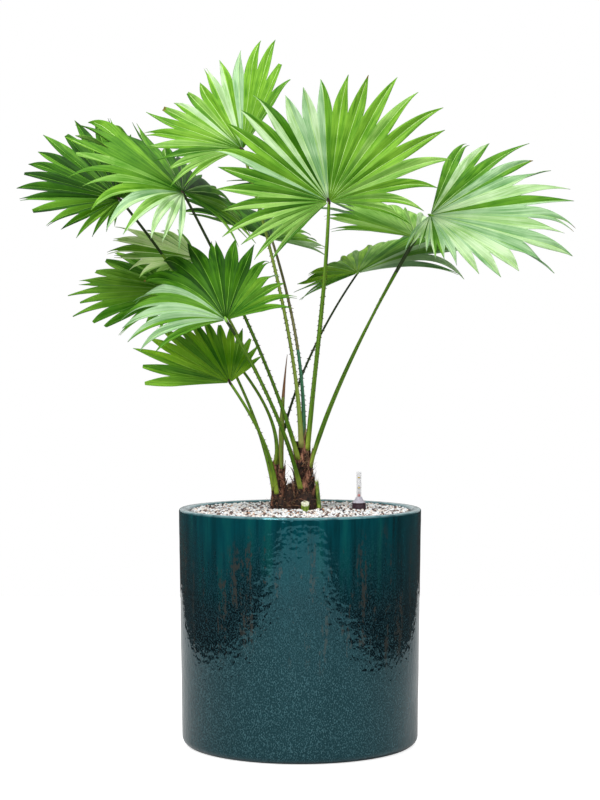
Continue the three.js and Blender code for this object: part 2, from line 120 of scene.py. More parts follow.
add_leaf(
    "upper_left", bearing=266, height=378, lean=0.3, spread=72, leaflets=18,
    hub=(-71, -75, 749), arrive=(-0.3, -0.1, 1), aim=(-0.62, 0.52, 0.59), face=(-0.17, -0.82, 0.54),
    lengths=(125, 185, 150, 135, 140, 112, 85),
    droops=(0.1, 0.05, 0.05, 0.05, 0.1, 0.5, 0.9),
    tints="bright bright silver_light bright light bright light",
    rib="pale", stalk="olive", bifid=0.2, blunt=0.35, wild=0.9,
)
add_leaf(
    "upper_right", bearing=318, height=374, lean=0.1, spread=115, leaflets=24, fold=0.05,
    hub=(35, -125, 681), arrive=(0.04, -0.3, 1), aim=(-0.29, 0.12, 0.95), face=(-0.05, -0.99, 0.1),
    lengths=(92, 175, 168, 152, 160, 135, 95),
    droops=(0.5, 0.2, 0.1, 0.05, 0.1, 0.25, 0.6),
    tints="light light bright silver_light mid bright light",
    rib="pale", bifid=0.06, wild=0.8,
)
add_leaf(
    "far_left", stem="left", bearing=195, height=322, lean=0.15, spread=118, leaflets=23,
    hub=(-231, 25, 695), arrive=(-0.6, 0.05, 0.75), aim=(-0.85, 0.15, 0.55), face=(0.05, -0.72, 0.68),
    lengths=(70, 110, 140, 135, 140, 92, 40),
    droops=(0.2, 0.15, 0.1, 0.1, 0.15, 0.2, 0.4),
    tints="mid deep mid deep deep mid bright",
    dark_top=0.22, bifid=0.14, blunt=0.2, wild=0.8,
)
add_leaf(
    "mid_left", bearing=235, height=362, lean=0.45, spread=145, leaflets=26, fold=0,
    hub=(-146, -48, 698), arrive=(-0.5, -0.35, 0.95), aim=(-0.6, 0.52, 0.6), face=(0.5, -0.38, 0.78),
    lengths=(100, 125, 150, 185, 148, 165, 115),
    droops=(0.7, 0.5, 0.25, 0.05, 0.25, 0.75, 0.85),
    tints="light mid deep mid bright light silver_light",
    rib="pale", stalk="deep", dark_top=0.25, bifid=0.1, blunt=0.1, wild=1.3,
)
add_leaf(
    "centre_back", bearing=80, height=376, lean=0.35, spread=95, leaflets=17,
    hub=(-38, 155, 651), arrive=(-0.27, 0.55, 0.88), aim=(-0.3, 0.85, 0.45), face=(0.4, -0.35, 0.85),
    lengths=(85, 105, 125, 145, 150, 145, 130),
    droops=(0.15, 0.15, 0.15, 0.15, 0.2, 0.2, 0.2),
    tints="silver_light light mid dark deep dark mid",
    stalk="brown", bifid=0.2, wild=0.9,
)
add_leaf(
    "young_left", bearing=160, height=350, lean=0.3, spread=60, leaflets=11,
    hub=(-134, 76, 622), arrive=(-0.45, 0.2, 0.9), aim=(-0.95, 0.1, 0.15), face=(0.1, -0.6, 0.8),
    lengths=(60, 85, 130, 125, 100, 80, 60),
    droops=(0.1, 0.1, 0.1, 0.1, 0.2, 0.3, 0.4),
    tints="young light young light young young light",
    rib="pale", stalk="olive", bifid=0.35, wild=1.3,
)
add_leaf(
    "low_back_left", stem="left", bearing=155, height=350, lean=-0.3, spread=110, leaflets=20,
    hub=(-160, 106, 581), arrive=(-0.5, 0.3, 0.7), aim=(-1, 0.1, 0.05), face=(0, -0.6, 0.8),
    lengths=(80, 95, 130, 150, 148, 105, 60),
    droops=(0.15, 0.1, 0.05, 0.05, 0.05, 0.1, 0.15),
    tints="bright mid bright bright bright mid bright",
    bifid=0.1, blunt=0.8, wild=0.7,
)
add_leaf(
    "low_left", bearing=250, height=325, lean=0.6, rise=0.25, spread=92, leaflets=17,
    hub=(-90, -118, 538), arrive=(-0.5, -0.2, 0.8), aim=(-0.3, 0.45, 0.78), face=(0.05, -0.8, 0.5),
    lengths=(85, 98, 122, 135, 140, 125, 95),
    droops=(0.3, 0.3, 0.35, 0.5, 1.1, 0.9, 0.7),
    tints="bright mid deep deep mid silver silver",
    under="silver", stalk="deep", dark_top=0.1, bifid=0.3, wild=1.3,
)
add_leaf(
    "lowest", stem="left", bearing=245, height=318, lean=0.15, spread=74, leaflets=14, fold=0,
    hub=(-87, -66, 461), arrive=(-0.5, -0.1, 0.75), aim=(-0.43, 0.29, 0.86), face=(0.26, -0.87, 0.43),
    lengths=(55, 75, 85, 98, 116, 125, 122),
    droops=(0.05, 0.05, 0.05, 0.05, 0.05, 0.05, 0.1),
    tints="rich bright rich rich bright rich bright",
    bifid=0.1, blunt=0.15, wild=0.6,
)
add_leaf(
    "low_right", stem="left", bearing=90, height=346, lean=0.35, rise=0.25,
    spread=112, leaflets=19, fold=0.05,
    hub=(76, 90, 603), arrive=(0.55, 0.15, 0.8), aim=(0.15, 0.88, 0.4), face=(-0.35, -0.35, 0.85),
    lengths=(140, 160, 160, 130, 108, 95, 88),
    droops=(0.45, 0.4, 0.3, 0.2, 0.15, 0.2, 0.25),
    tints="silver_light light bright light rich rich bright",
    under="silver", stalk="dark", dark_top=0.5, bifid=0.25, wild=1.3,
)
add_leaf(
    "far_right", bearing=330, height=352, lean=0.25, rise=0.25, spread=106, leaflets=21, fold=0,
    hub=(161, -80, 668), arrive=(0.52, -0.1, 0.85), aim=(0.88, -0.34, -0.31), face=(-0.01, -0.69, 0.73),
    lengths=(60, 60, 95, 170, 175, 195, 200),
    droops=(0.6, 0.6, 0.45, 0.2, 0.05, 0.08, 0.15),
    tints="silver_light silver silver_light silver_light silver silver_light mid",
    under="silver", rib="pale", stalk="deep", dark_top=0.25, bifid=0.2, wild=1.4,
)
add_leaf(
    "back_right", bearing=10, height=356, lean=0.3, rise=0.25, spread=100, leaflets=18, fold=0.05,
    hub=(147, 0, 645), arrive=(0.5, 0, 0.85), aim=(-0.3, 0.82, 0.45), face=(0.25, -0.28, 0.93),
    lengths=(70, 85, 120, 140, 140, 128, 115),
    droops=(0.1, 0.1, 0.1, 0.1, 0.1, 0.1, 0.1),
    tints="silver_light bright silver_light light light light light",
    under="silver", rib="pale", dark_top=0.2, bifid=0.25, wild=1.0,
)
add_leaf(
    "upper_back", bearing=25, height=376, lean=0.1, spread=98, leaflets=18,
    hub=(38, 45, 709), arrive=(0.02, 0.15, 1), aim=(-0.25, 0.93, 0.3), face=(0.05, -0.3, 0.95),
    lengths=(55, 70, 110, 140, 140, 135, 120),
    droops=(0.1, 0.1, 0.1, 0.1, 0.1, 0.1, 0.1),
    tints="dark deep dark deep mid deep dark",
    dark_top=0.3, bifid=0.2, wild=0.8,
)


# Small helpers

def clamp(share):
    return min(max(share, 0.0), 1.0)


def smooth(share):
    share = clamp(share)
    return share * share * (3 - 2 * share)


def lerp(a, b, share):
    return a + (b - a) * share


def shares(steps):
    """Evenly spaced numbers from 0 to 1."""
    return [i / steps for i in range(steps + 1)]


def turns(count):
    """Evenly spaced angles round a circle."""
    return [2 * pi * k / count for k in range(count)]


def way(turn, lift=0.0):
    """The direction at an angle round the upright and an angle above the level."""
    return Vector((cos(turn) * cos(lift), sin(turn) * cos(lift), sin(lift)))


def flat_normal(vector, along):
    """The part of a vector that stands square to a direction, as a unit vector."""
    return (vector - along * vector.dot(along)).normalized()


def rough(point, size, seed):
    """Noise with lumps of about a size."""
    return noise.noise(Vector(point) / size + Vector((seed, 0, 0)))


class Path:
    """A line through points that is read by the share of its length."""

    def __init__(self, points):
        self.points = points
        self.marks = [0.0]
        for a, b in zip(points, points[1:]):
            self.marks.append(self.marks[-1] + (b - a).length)
        self.length = self.marks[-1]

    def at(self, share):
        wanted = share * self.length
        for i in range(1, len(self.marks)):
            if self.marks[i] >= wanted or i == len(self.marks) - 1:
                run = self.marks[i] - self.marks[i - 1]
                return self.points[i - 1].lerp(self.points[i], (wanted - self.marks[i - 1]) / run)

    def along(self, share):
        step = 0.01
        return (self.at(min(share + step, 1.0)) - self.at(max(share - step, 0.0))).normalized()


def bezier(points, steps=60):
    """A Bezier line of three or four points."""
    line = []
    for share in shares(steps):
        level = [Vector(p) for p in points]
        while len(level) > 1:
            level = [a.lerp(b, share) for a, b in zip(level, level[1:])]
        line.append(level[0])
    return Path(line)


# Materials: each is a short node tree on one principled shader

MATERIALS = {}


def tone(value):
    """The linear colour of a web colour or of a level of grey."""
    if isinstance(value, str):
        channels = [int(value[i:i + 2], 16) / 255 for i in (1, 3, 5)]
        linear = [c / 12.92 if c <= 0.04045 else ((c + 0.055) / 1.055) ** 2.4 for c in channels]
        return (*linear, 1.0)
    return (value, value, value, 1.0)


def darkened(colour, share):
    return (*(channel * share for channel in tone(colour)[:3]), 1.0)


class Nodes:
    """Writes a node tree; each method that adds a node gives back the socket it ends in."""

    def __init__(self, tree):
        self.tree = tree

    def feed(self, node, sockets):
        for name, value in sockets.items():
            number = name[1:]
            socket = node.inputs[int(number) if number.isdigit() else name.replace("_", " ")]
            if isinstance(value, bpy.types.NodeSocket):
                self.tree.links.new(value, socket)
            else:
                socket.default_value = value

    def add(self, kind, output=0, settings=None, **sockets):
        node = self.tree.nodes.new("ShaderNode" + kind)
        for name, value in (settings or {}).items():
            setattr(node, name, value)
        self.feed(node, sockets)
        return node.outputs[output]

    def math(self, operation, *values):
        sockets = {f"_{i}": value for i, value in enumerate(values)}
        return self.add("Math", settings={"operation": operation}, **sockets)

    def place(self, scale=(1, 1, 1), output="Object"):
        return self.add("Mapping", Vector=self.add("TexCoord", output=output), Scale=scale)

    def axis(self, number, output="Object"):
        return self.add("SeparateXYZ", output=number, Vector=self.place(output=output))

    def noise(self, scale, stretch=(1, 1, 1), where=None, detail=3.0, roughness=0.55):
        """Noise over the object's own coordinates, or over others."""
        if where is None:
            where = self.place(stretch)
        return self.add("TexNoise", Vector=where, Scale=scale, Detail=detail, Roughness=roughness)

    def ramp(self, value, *stops):
        """A colour ramp over a value, with stops of (position, colour)."""
        node = self.tree.nodes.new("ShaderNodeValToRGB")
        self.tree.links.new(value, node.inputs[0])
        elements = node.color_ramp.elements
        while len(elements) < len(stops):
            elements.new(0.5)
        for element, (position, colour) in zip(elements, stops):
            element.position = position
            element.color = tone(colour)
        return node.outputs[0]

    def mix(self, share, a, b, blend="MIX"):
        a, b = (tone(c) if isinstance(c, (str, float)) else c for c in (a, b))
        settings = {"data_type": "RGBA", "blend_type": blend}
        return self.add("Mix", output=2, settings=settings, _0=share, _6=a, _7=b)

    def times(self, a, b):
        return self.mix(1.0, a, b, blend="MULTIPLY")


class Material(Nodes):
    """The nodes of a new material around its principled shader."""

    def __init__(self, name, **sockets):
        material = bpy.data.materials.new(name)
        material.use_nodes = True
        super().__init__(material.node_tree)
        self.shader = self.tree.nodes["Principled BSDF"]
        self.feed(self.shader, sockets)
        MATERIALS[name] = material

    def colour(self, socket):
        self.feed(self.shader, {"Base Color": socket})

    def bump(self, height, strength, distance):
        normal = self.add("Bump", Strength=strength, Distance=distance, Height=height)
        self.feed(self.shader, {"Normal": normal})
        return normal


def leaf_material(name, shade, light, roughness=0.5, hub=0.6):
    """A leaf: lengthwise veins by the leaflet's own coordinates, slow blotches, and painted shade that
    deepens the colour towards the hub.
    """
    nodes = Material(name, Roughness=roughness, Specular_IOR_Level=0.12)
    drift = nodes.place((30, 30, 30))
    fine = nodes.add("VectorMath", _0=nodes.place((640, 7, 1), "UV"), _1=drift)
    wide = nodes.add("VectorMath", _0=nodes.place((260, 3, 1), "UV"), _1=drift)
    veins = nodes.noise(1.0, where=fine, detail=2.0)
    stripes = nodes.noise(1.0, where=wide, detail=1.0)
    veined = nodes.ramp(veins, (0.4, shade), (0.6, light))
    striped = nodes.ramp(stripes, (0.42, shade), (0.58, light))
    patchy = nodes.ramp(nodes.noise(30), (0.38, shade), (0.62, light))
    blade = nodes.mix(0.3, nodes.mix(0.5, veined, striped), patchy)
    # Painted shade: the colour deepens near the hub, where the folds crowd together; hub is its share there
    near = nodes.ramp(nodes.axis(1, "UV"), (0.0, hub), (0.09, 0.0))
    nodes.colour(nodes.mix(near, blade, darkened(shade, 0.45)))
    nodes.bump(veins, 0.5, 0.0005)


def stalk_material(name, shade, light, foot=None):
    """A stalk: lengthwise streaks, paler where it leaves the stem if a foot colour is given."""
    nodes = Material(name, Roughness=0.45, Specular_IOR_Level=0.2)
    streaks = nodes.noise(1.0, where=nodes.place((700, 9, 1), "UV"))
    colour = nodes.ramp(streaks, (0.35, shade), (0.65, light))
    if foot:
        patches = nodes.noise(240, (1, 1, 0.4), detail=2.0)
        level = nodes.math("MULTIPLY_ADD", patches, 0.02, nodes.axis(1, "UV"))
        colour = nodes.mix(nodes.ramp(level, (0.014, 0.9), (0.045, 0.0)), colour, foot)
    nodes.colour(colour)
    nodes.bump(streaks, 0.3, 0.0003)


def fibre_material(name, shade, light, roughness=0.85):
    nodes = Material(name, Roughness=roughness)
    grain = nodes.noise(1.0, (430, 430, 110), detail=4.0, roughness=0.7)
    nodes.colour(nodes.ramp(grain, (0.4, shade), (0.62, light)))
    nodes.bump(grain, 0.9, 0.0014)


def stone_material(name, shade, light):
    nodes = Material(name, Roughness=0.75)
    pores = nodes.noise(620, roughness=0.65)
    nodes.colour(nodes.ramp(pores, (0.34, shade), (0.62, light)))
    nodes.bump(pores, 0.5, 0.0004)


def glaze_material():
    """Teal glaze: streaky at the top, near black with brown runs and a pale net lower down, and a painted
    highlight in patches along the top of the lip.
    """
    nodes = Material(
        "glaze", Roughness=0.05, IOR=1.75, Specular_IOR_Level=0.42, Specular_Tint=(0.2, 0.8, 0.95, 1.0),
        Coat_Weight=0.14, Coat_Roughness=0.03,
    )
    height = nodes.axis(2)
    level = nodes.math("MULTIPLY_ADD", nodes.noise(14, (1, 1, 0.25), detail=4.0), 0.12, height)
    streaks = nodes.noise(70, (1, 1, 0.07), detail=4.0, roughness=0.6)
    upper = nodes.ramp(streaks, (0.3, "#02262c"), (0.52, "#034048"), (0.72, "#0c5452"))
    strokes = nodes.noise(1000, (1, 1, 0.5), detail=1.0, roughness=0.5)
    strong = nodes.ramp(strokes, (0.46, "#040e13"), (0.55, "#0a171c"), (0.64, "#3c585e"))
    faint = nodes.ramp(strokes, (0.46, "#020c12"), (0.64, "#264249"))
    lower = nodes.mix(nodes.ramp(level, (0.16, 0.0), (0.24, 1.0)), strong, faint)
    body = nodes.mix(nodes.ramp(level, (0.25, 0.0), (0.35, 1.0)), lower, upper)
    runs = nodes.noise(62, (1, 1, 0.09), detail=5.0, roughness=0.66)
    frayed = nodes.math("MULTIPLY_ADD", nodes.noise(240, (1, 1, 0.5), roughness=0.7), 0.5, runs)
    low_end = nodes.ramp(level, (0.17, 0.0), (0.21, 1.0))
    high_end = nodes.ramp(level, (0.3, 1.0), (0.35, 0.0))
    rust = nodes.times(nodes.times(low_end, high_end), nodes.ramp(frayed, (0.83, 0.0), (0.87, 0.85)))
    # Painted highlight: a pale band along the top of the lip, broken into patches by noise
    edge = nodes.ramp(height, (0.2982, 0.0), (0.2996, 0.9))
    highlight_patches = nodes.ramp(nodes.noise(60), (0.42, 0.4), (0.55, 1.0))
    nodes.colour(nodes.mix(nodes.times(edge, highlight_patches), nodes.mix(rust, body, "#383733"), "#8cb2b6"))
    normal = nodes.bump(nodes.noise(150, (1, 1, 0.8), detail=1.5, roughness=0.5), 0.5, 0.0008)
    nodes.feed(nodes.shader, {"Coat Normal": normal})


def plain_plastic(name, colour, roughness, **sockets):
    nodes = Material(name, Roughness=roughness, Specular_IOR_Level=0.3, **sockets)
    haze = nodes.ramp(nodes.noise(900, detail=1.0), (0.3, 0.0), (0.7, 0.02))
    nodes.colour(nodes.mix(haze, colour, 0.9))


def make_materials():
    # hub is the share of painted shade that deepens each leaf colour near its blade's hub
    leaf_material("leaf_light", "#4f8c1c", "#a2cf68", hub=0.4)
    leaf_material("leaf_bright", "#3f7c08", "#86bc38", hub=0.5)
    leaf_material("leaf_mid", "#2a6804", "#6ca42c")
    leaf_material("leaf_rich", "#5c9a08", "#a4d638")
    # The deep and dark tints are partly painted shade, for blades and parts of blades that lie in the shade
    # of others
    leaf_material("leaf_deep", "#1a4c02", "#4c880e")
    leaf_material("leaf_dark", "#0e3602", "#366e08")
    # The young leaf is pale partly by its own colour and partly as painted light: bright enough to glow as
    # if backlit, though it lies in shade
    leaf_material("leaf_young", "#a8d860", "#f0fcc8", hub=0.1)
    # The silver tints are partly painted sheen: pale bluish green where the satin leaves catch the light
    leaf_material("leaf_silver_light", "#84b264", "#cce6b8", roughness=0.55, hub=0.3)
    leaf_material("leaf_silver", "#649858", "#b4d6a6", roughness=0.55, hub=0.35)
    leaf_material("under_soft", "#4c8626", "#86b650", roughness=0.6, hub=0.3)
    leaf_material("under_silver", "#6c9c64", "#a8ca9e", roughness=0.6, hub=0.3)
    leaf_material("rib_pale", "#9cc864", "#d0eaa4", hub=0.0)
    leaf_material("rib_soft", "#5a942a", "#96c658", hub=0.1)
    leaf_material("tip_brown", "#6a6428", "#989048", roughness=0.8, hub=0.0)
    stalk_material("stalk_green", "#42720a", "#86b038", foot="#a4bc44")
    stalk_material("stalk_olive", "#6d8c2c", "#a4ba55", foot="#a8a860")
    stalk_material("stalk_blue", "#2f6a4e", "#5d9a72", foot="#7c6a4c")
    stalk_material("stalk_deep", "#305806", "#689422", foot="#a8bc4c")
    stalk_material("stalk_brown", "#5c5a34", "#8d8a58")
    stalk_material("stalk_dark", "#1c2a12", "#3b4f22", foot="#7c8a3c")
    stalk_material("spine", "#3a2413", "#7a5a34")
    stalk_material("spear_green", "#64852b", "#9bb152")
    stalk_material("spear_brown", "#6a4029", "#a07a55")
    fibre_material("fibre_dark", "#060302", "#462a1a")
    fibre_material("fibre_red", "#4a2213", "#bb8468")
    fibre_material("fibre_tan", "#6a4b30", "#c4a680")
    fibre_material("stub_skin", "#3f6410", "#a4c03c", roughness=0.5)
    fibre_material("stub_face", "#c9cca0", "#fbfbf0", roughness=0.8)
    stone_material("stone_white", "#dde3e8", "#ffffff")
    stone_material("stone_cream", "#d8cac0", "#fbf2ea")
    stone_material("stone_grey", "#a5a3a4", "#d3d1d1")
    stone_material("stone_brown", "#4f3c38", "#8d756c")
    stone_material("stone_dark", "#2b2425", "#57494a")
    stone_material("stone_rust", "#9a6a4c", "#cfa283")
    # The bed under the granules: painted shade for the gaps between them
    stone_material("stone_gap_shade", "#2e2321", "#625350")
    plain_plastic("smoked", "#38202c", 0.4)
    plain_plastic("milky", "#bcb8c4", 0.3)
    plain_plastic("clear", "#e6e6ea", 0.15, Alpha=0.22)
    plain_plastic("mark_yellow", "#e0c02a", 0.5)
    plain_plastic("float_red", "#d8320c", 0.4)
    plain_plastic("float_white", "#dcdcdc", 0.4)
    glaze_material()


# Mesh building

class Shape:
    """Points in millimetres with a pair of pattern coordinates each, and faces with their material."""

    def __init__(self):
        self.points, self.pattern, self.creases = [], [], []
        self.faces, self.kinds = [], []

    def add(self, point, u=0.0, v=0.0, crease=None):
        self.points.append(Vector(point) * MM)
        self.pattern.append((u * MM, v * MM))
        self.creases.append(crease)
        return len(self.points) - 1

    def face(self, corners, kind):
        self.faces.append(corners)
        self.kinds.append(kind)

    def grid(self, outer, inner, place):
        """Rows of points; place gives the spot and the pattern coordinates of each."""
        return [[self.add(*place(a, b)) for b in inner] for a in outer]

    def strip(self, rows, kind, closed=False, turned=False):
        """Faces between rows of points; kind is a material or a function of row and column."""
        for i, (near, far) in enumerate(zip(rows, rows[1:])):
            for j in range(len(near) if closed else len(near) - 1):
                k = (j + 1) % len(near)
                corners = (near[j], near[k], far[k], far[j])
                if turned:
                    corners = (near[j], far[j], far[k], near[k])
                self.face(tuple(dict.fromkeys(corners)), kind(i, j) if callable(kind) else kind)

    def limb(self, rows, kind, ends=None):
        """Faces round rows of points and over both ends, whose materials can be given apart."""
        if ends is None:
            ends = (kind(0, 0), kind(len(rows) - 2, 0)) if callable(kind) else (kind, kind)
        self.strip(rows, kind, closed=True)
        self.face(tuple(reversed(rows[0])), ends[0])
        self.face(tuple(rows[-1]), ends[1])

    def object(self, name, slot, materials, replaces=(), body="root", thickness=0.0):
        mesh = bpy.data.meshes.new(name)
        mesh.from_pydata(self.points, [], self.faces)
        for material in materials:
            mesh.materials.append(MATERIALS[material])
        index = {material: i for i, material in enumerate(materials)}
        mesh.polygons.foreach_set("material_index", [index[kind] for kind in self.kinds])
        mesh.polygons.foreach_set("use_smooth", [True] * len(self.faces))
        layer = mesh.uv_layers.new(name="pattern")
        corners = [c for loop in mesh.loops for c in self.pattern[loop.vertex_index]]
        layer.data.foreach_set("uv", corners)
        if any(self.creases):
            for edge in mesh.edges:
                a, b = (self.creases[v] for v in edge.vertices)
                edge.use_edge_sharp = a is not None and a == b
        mesh.update()
        piece = put(name, mesh)
        if thickness:
            solidify(piece, thickness, len(materials) // 2)
        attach(piece, body)
        if replaces:
            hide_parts(*replaces)


def solidify(piece, thickness, material_offset):
    """Gives a sheet its thickness, with the second half of its materials on the lower side."""
    modifier = piece.modifiers.new("thickness", "SOLIDIFY")
    modifier.thickness = thickness * MM
    modifier.offset = 0
    modifier.material_offset = material_offset
    graph = bpy.context.evaluated_depsgraph_get()
    mesh = bpy.data.meshes.new_from_object(piece.evaluated_get(graph))
    piece.modifiers.clear()
    old = piece.data
    piece.data = mesh
    bpy.data.meshes.remove(old)
    mesh.name = piece.name


def put(name, data):
    """Puts a new object in the scene."""
    thing = bpy.data.objects.new(name, data)
    bpy.context.scene.collection.objects.link(thing)
    return thing


def oval(centre, across, out, width, depth, sides):
    """Points round a centre, at half a width and half a depth from it."""
    return [centre + across * (width * cos(turn)) + out * (depth * sin(turn)) for turn in turns(sides)]


def tube(shape, path, frames, kind, sides, steps):
    """A limb of oval sections; frames gives the way across, half width and half depth at a share."""
    rows = []
    for share in shares(steps):
        along = path.along(share)
        across, width, depth = frames(share)
        across = flat_normal(across, along)
        spots = oval(path.at(share), across, along.cross(across), width, depth, sides)
        run = share * path.length
        rows.append([shape.add(spot, width * turn, run) for spot, turn in zip(spots, turns(sides))])
    shape.limb(rows, kind)


def lathe(shape, profile, kinds, facets, centre=(0, 0, 0)):
    """A profile of (radius, height) turned round an upright line; kinds has a material a row."""
    rows = []
    run = 0.0
    before = profile[0]
    for radius, height in profile:
        run += hypot(radius - before[0], height - before[1])
        before = radius, height
        row = []
        for turn in turns(facets if radius else 1):
            spot = Vector(centre) + Vector((radius * cos(turn), radius * sin(turn), height))
            row.append(shape.add(spot, radius * turn, run))
        rows.append(row if radius else row * facets)
    shape.strip(rows, lambda i, j: kinds[i], closed=True)


def arc(centre_radius, centre_height, radius, start, end, steps):
    """Points of (radius, height) on a rounding, between two angles in degrees."""
    points = []
    for share in shares(steps):
        turn = radians(lerp(start, end, share))
        points.append((centre_radius + radius * cos(turn), centre_height + radius * sin(turn)))
    return points


# Places on the stems

STEM_PATHS = {name: bezier((stem.foot, stem.lean, stem.tip)) for name, stem in STEMS.items()}


def stem_radius(name, share):
    stem = STEMS[name]
    flare = (stem.foot_radius - stem.waist) * (1 - share) ** STEM_FLARE_SHARPNESS
    return flare + lerp(stem.waist, stem.tip_radius, share ** STEM_TAPER_DELAY)


def stem_share(name, height):
    stem = STEMS[name]
    return clamp((height - stem.foot[2]) / (stem.tip[2] - stem.foot[2]))


def on_stem(name, bearing, height, proud=0.0):
    """A point on a stem's skin, and the way out of it there."""
    share = stem_share(name, height)
    out = way(radians(bearing))
    return STEM_PATHS[name].at(share) + out * (stem_radius(name, share) + proud), out


# Petioles

def petiole_path(leaf):
    foot, out = on_stem(leaf.stem, leaf.bearing, leaf.height, -PETIOLE.sunk)
    hub = Vector(leaf.hub)
    arrive = Vector(leaf.arrive).normalized()
    end = hub - arrive * (NECK_LENGTH + CLEARANCE)
    span = (end - foot).length
    leave = (out * leaf.lean + UP).normalized()
    pull, push = leaf.rise * span, PETIOLE.arrive_pull * span
    line = bezier((foot, foot + leave * pull, end - arrive * push, end))
    return Path(line.points + [hub - arrive * 3, hub]), out


def blade_axes(leaf):
    aim = Vector(leaf.aim).normalized()
    face = flat_normal(Vector(leaf.face), aim)
    return aim, face, face.cross(aim)


def petiole(name, leaf):
    """A half flat limb with two rows of small spines on its margins."""
    rng = random.Random("petiole " + name)
    path, out = petiole_path(leaf)
    girth = PETIOLE.dark_girth if leaf.stalk == "dark" else 1.0
    side = blade_axes(leaf)[2]
    foot_side = out.cross(UP)
    if foot_side.dot(side) < 0:
        foot_side = -foot_side

    def frames(share):
        sheath = max(0.0, 1 - share / PETIOLE.sheath_share) ** PETIOLE.sheath_sharpness
        shaft = lerp(PETIOLE.shaft, PETIOLE.tip, share) * girth
        width = shaft + (PETIOLE.foot - PETIOLE.shaft) * sheath
        depth = min(width * PETIOLE.depth_share, PETIOLE.most_depth)
        return foot_side.lerp(side, smooth(share)), width, depth

    def kind(row, column):
        share = row / PETIOLE.steps
        if share > 1 - leaf.dark_top:
            return "stalk_dark"
        if leaf.stalk == "brown" and share < PETIOLE.bare_share:
            return "stalk_blue"
        return "stalk_" + leaf.stalk

    shape = Shape()
    tube(shape, path, frames, kind, PETIOLE.sides, PETIOLE.steps)
    for hand in (-1, 1):
        share = SPINES.start + 0.02 * rng.random()
        while share < SPINES.end:
            spine(shape, path, frames, share, hand, rng)
            share += rng.uniform(*SPINES.apart) / path.length
    kinds = list(dict.fromkeys(shape.kinds))
    shape.object(f"petiole_{name}_shaft", "stalk", kinds, ["petiole_" + name])


def spine(shape, path, frames, share, hand, rng):
    across, width, _ = frames(share)
    along = path.along(share)
    across = flat_normal(across, along) * hand
    root = path.at(share) + across * (width * 0.9)
    length = rng.uniform(*SPINES.length) * (1 - SPINES.shrink * share)
    tip = shape.add(root + across * length - along * (0.5 * length))
    thick = along.cross(across) * 0.6
    base = [shape.add(spot) for spot in (root + along * 1.1, root + thick, root - along * 0.8, root - thick)]
    for i in range(4):
        shape.face((base[i], base[(i + 1) % 4], tip), "spine")
    shape.face(tuple(reversed(base)), "spine")


# Fan leaves

# The next darker tint of each, which paints shade on one half of a folded leaflet
FOLD_SHADE_TINT = {
    "light": "bright", "bright": "mid", "mid": "deep", "rich": "bright", "deep": "dark", "dark": "dark",
    "young": "light", "silver_light": "silver", "silver": "mid",
}


def listed(leaf, values, angle):
    """What a leaf's lengths or droops say for the leaflet at an angle."""
    spread = radians(leaf.spread)
    place = clamp((angle + spread) / (2 * spread)) * (len(values) - 1)
    before = min(int(place), len(values) - 2)
    return lerp(values[before], values[before + 1], place - before)


def split_at(leaf, angle):
    """How far out the blade is joined at an angle."""
    edge_share = (abs(angle) / BLADE.full_spread) ** BLADE.edge_onset
    return listed(leaf, leaf.lengths, angle) * lerp(BLADE.split_middle, BLADE.split_edge, edge_share)


def half_columns(edge, rib, normal):
    """Points from a leaflet's edge to the border of its rib."""
    span = (rib - edge).length
    columns = [edge]
    for share in INNER:
        bulge = normal * (BLADE.bulge * span * sin(pi * share))
        columns.append(edge.lerp(rib, share) + bulge)
    columns.append(edge.lerp(rib, 1 - min(BLADE.rib_half_width / max(span, 0.01), 0.3)))
    return columns


class Bend:
    """How one leaflet strays from the blade's surface past its split."""

    def __init__(self, wild, rng, split, length):
        self.split, self.length = split, length
        self.fall = wild * abs(rng.gauss(0, STRAY.fall))
        self.sway = wild * rng.gauss(0, STRAY.sway)
        self.lift = wild * rng.gauss(0, STRAY.lift)
        self.twist = wild * rng.gauss(0, STRAY.twist)

    def share(self, distance):
        return clamp((distance - self.split) / (self.length - self.split))


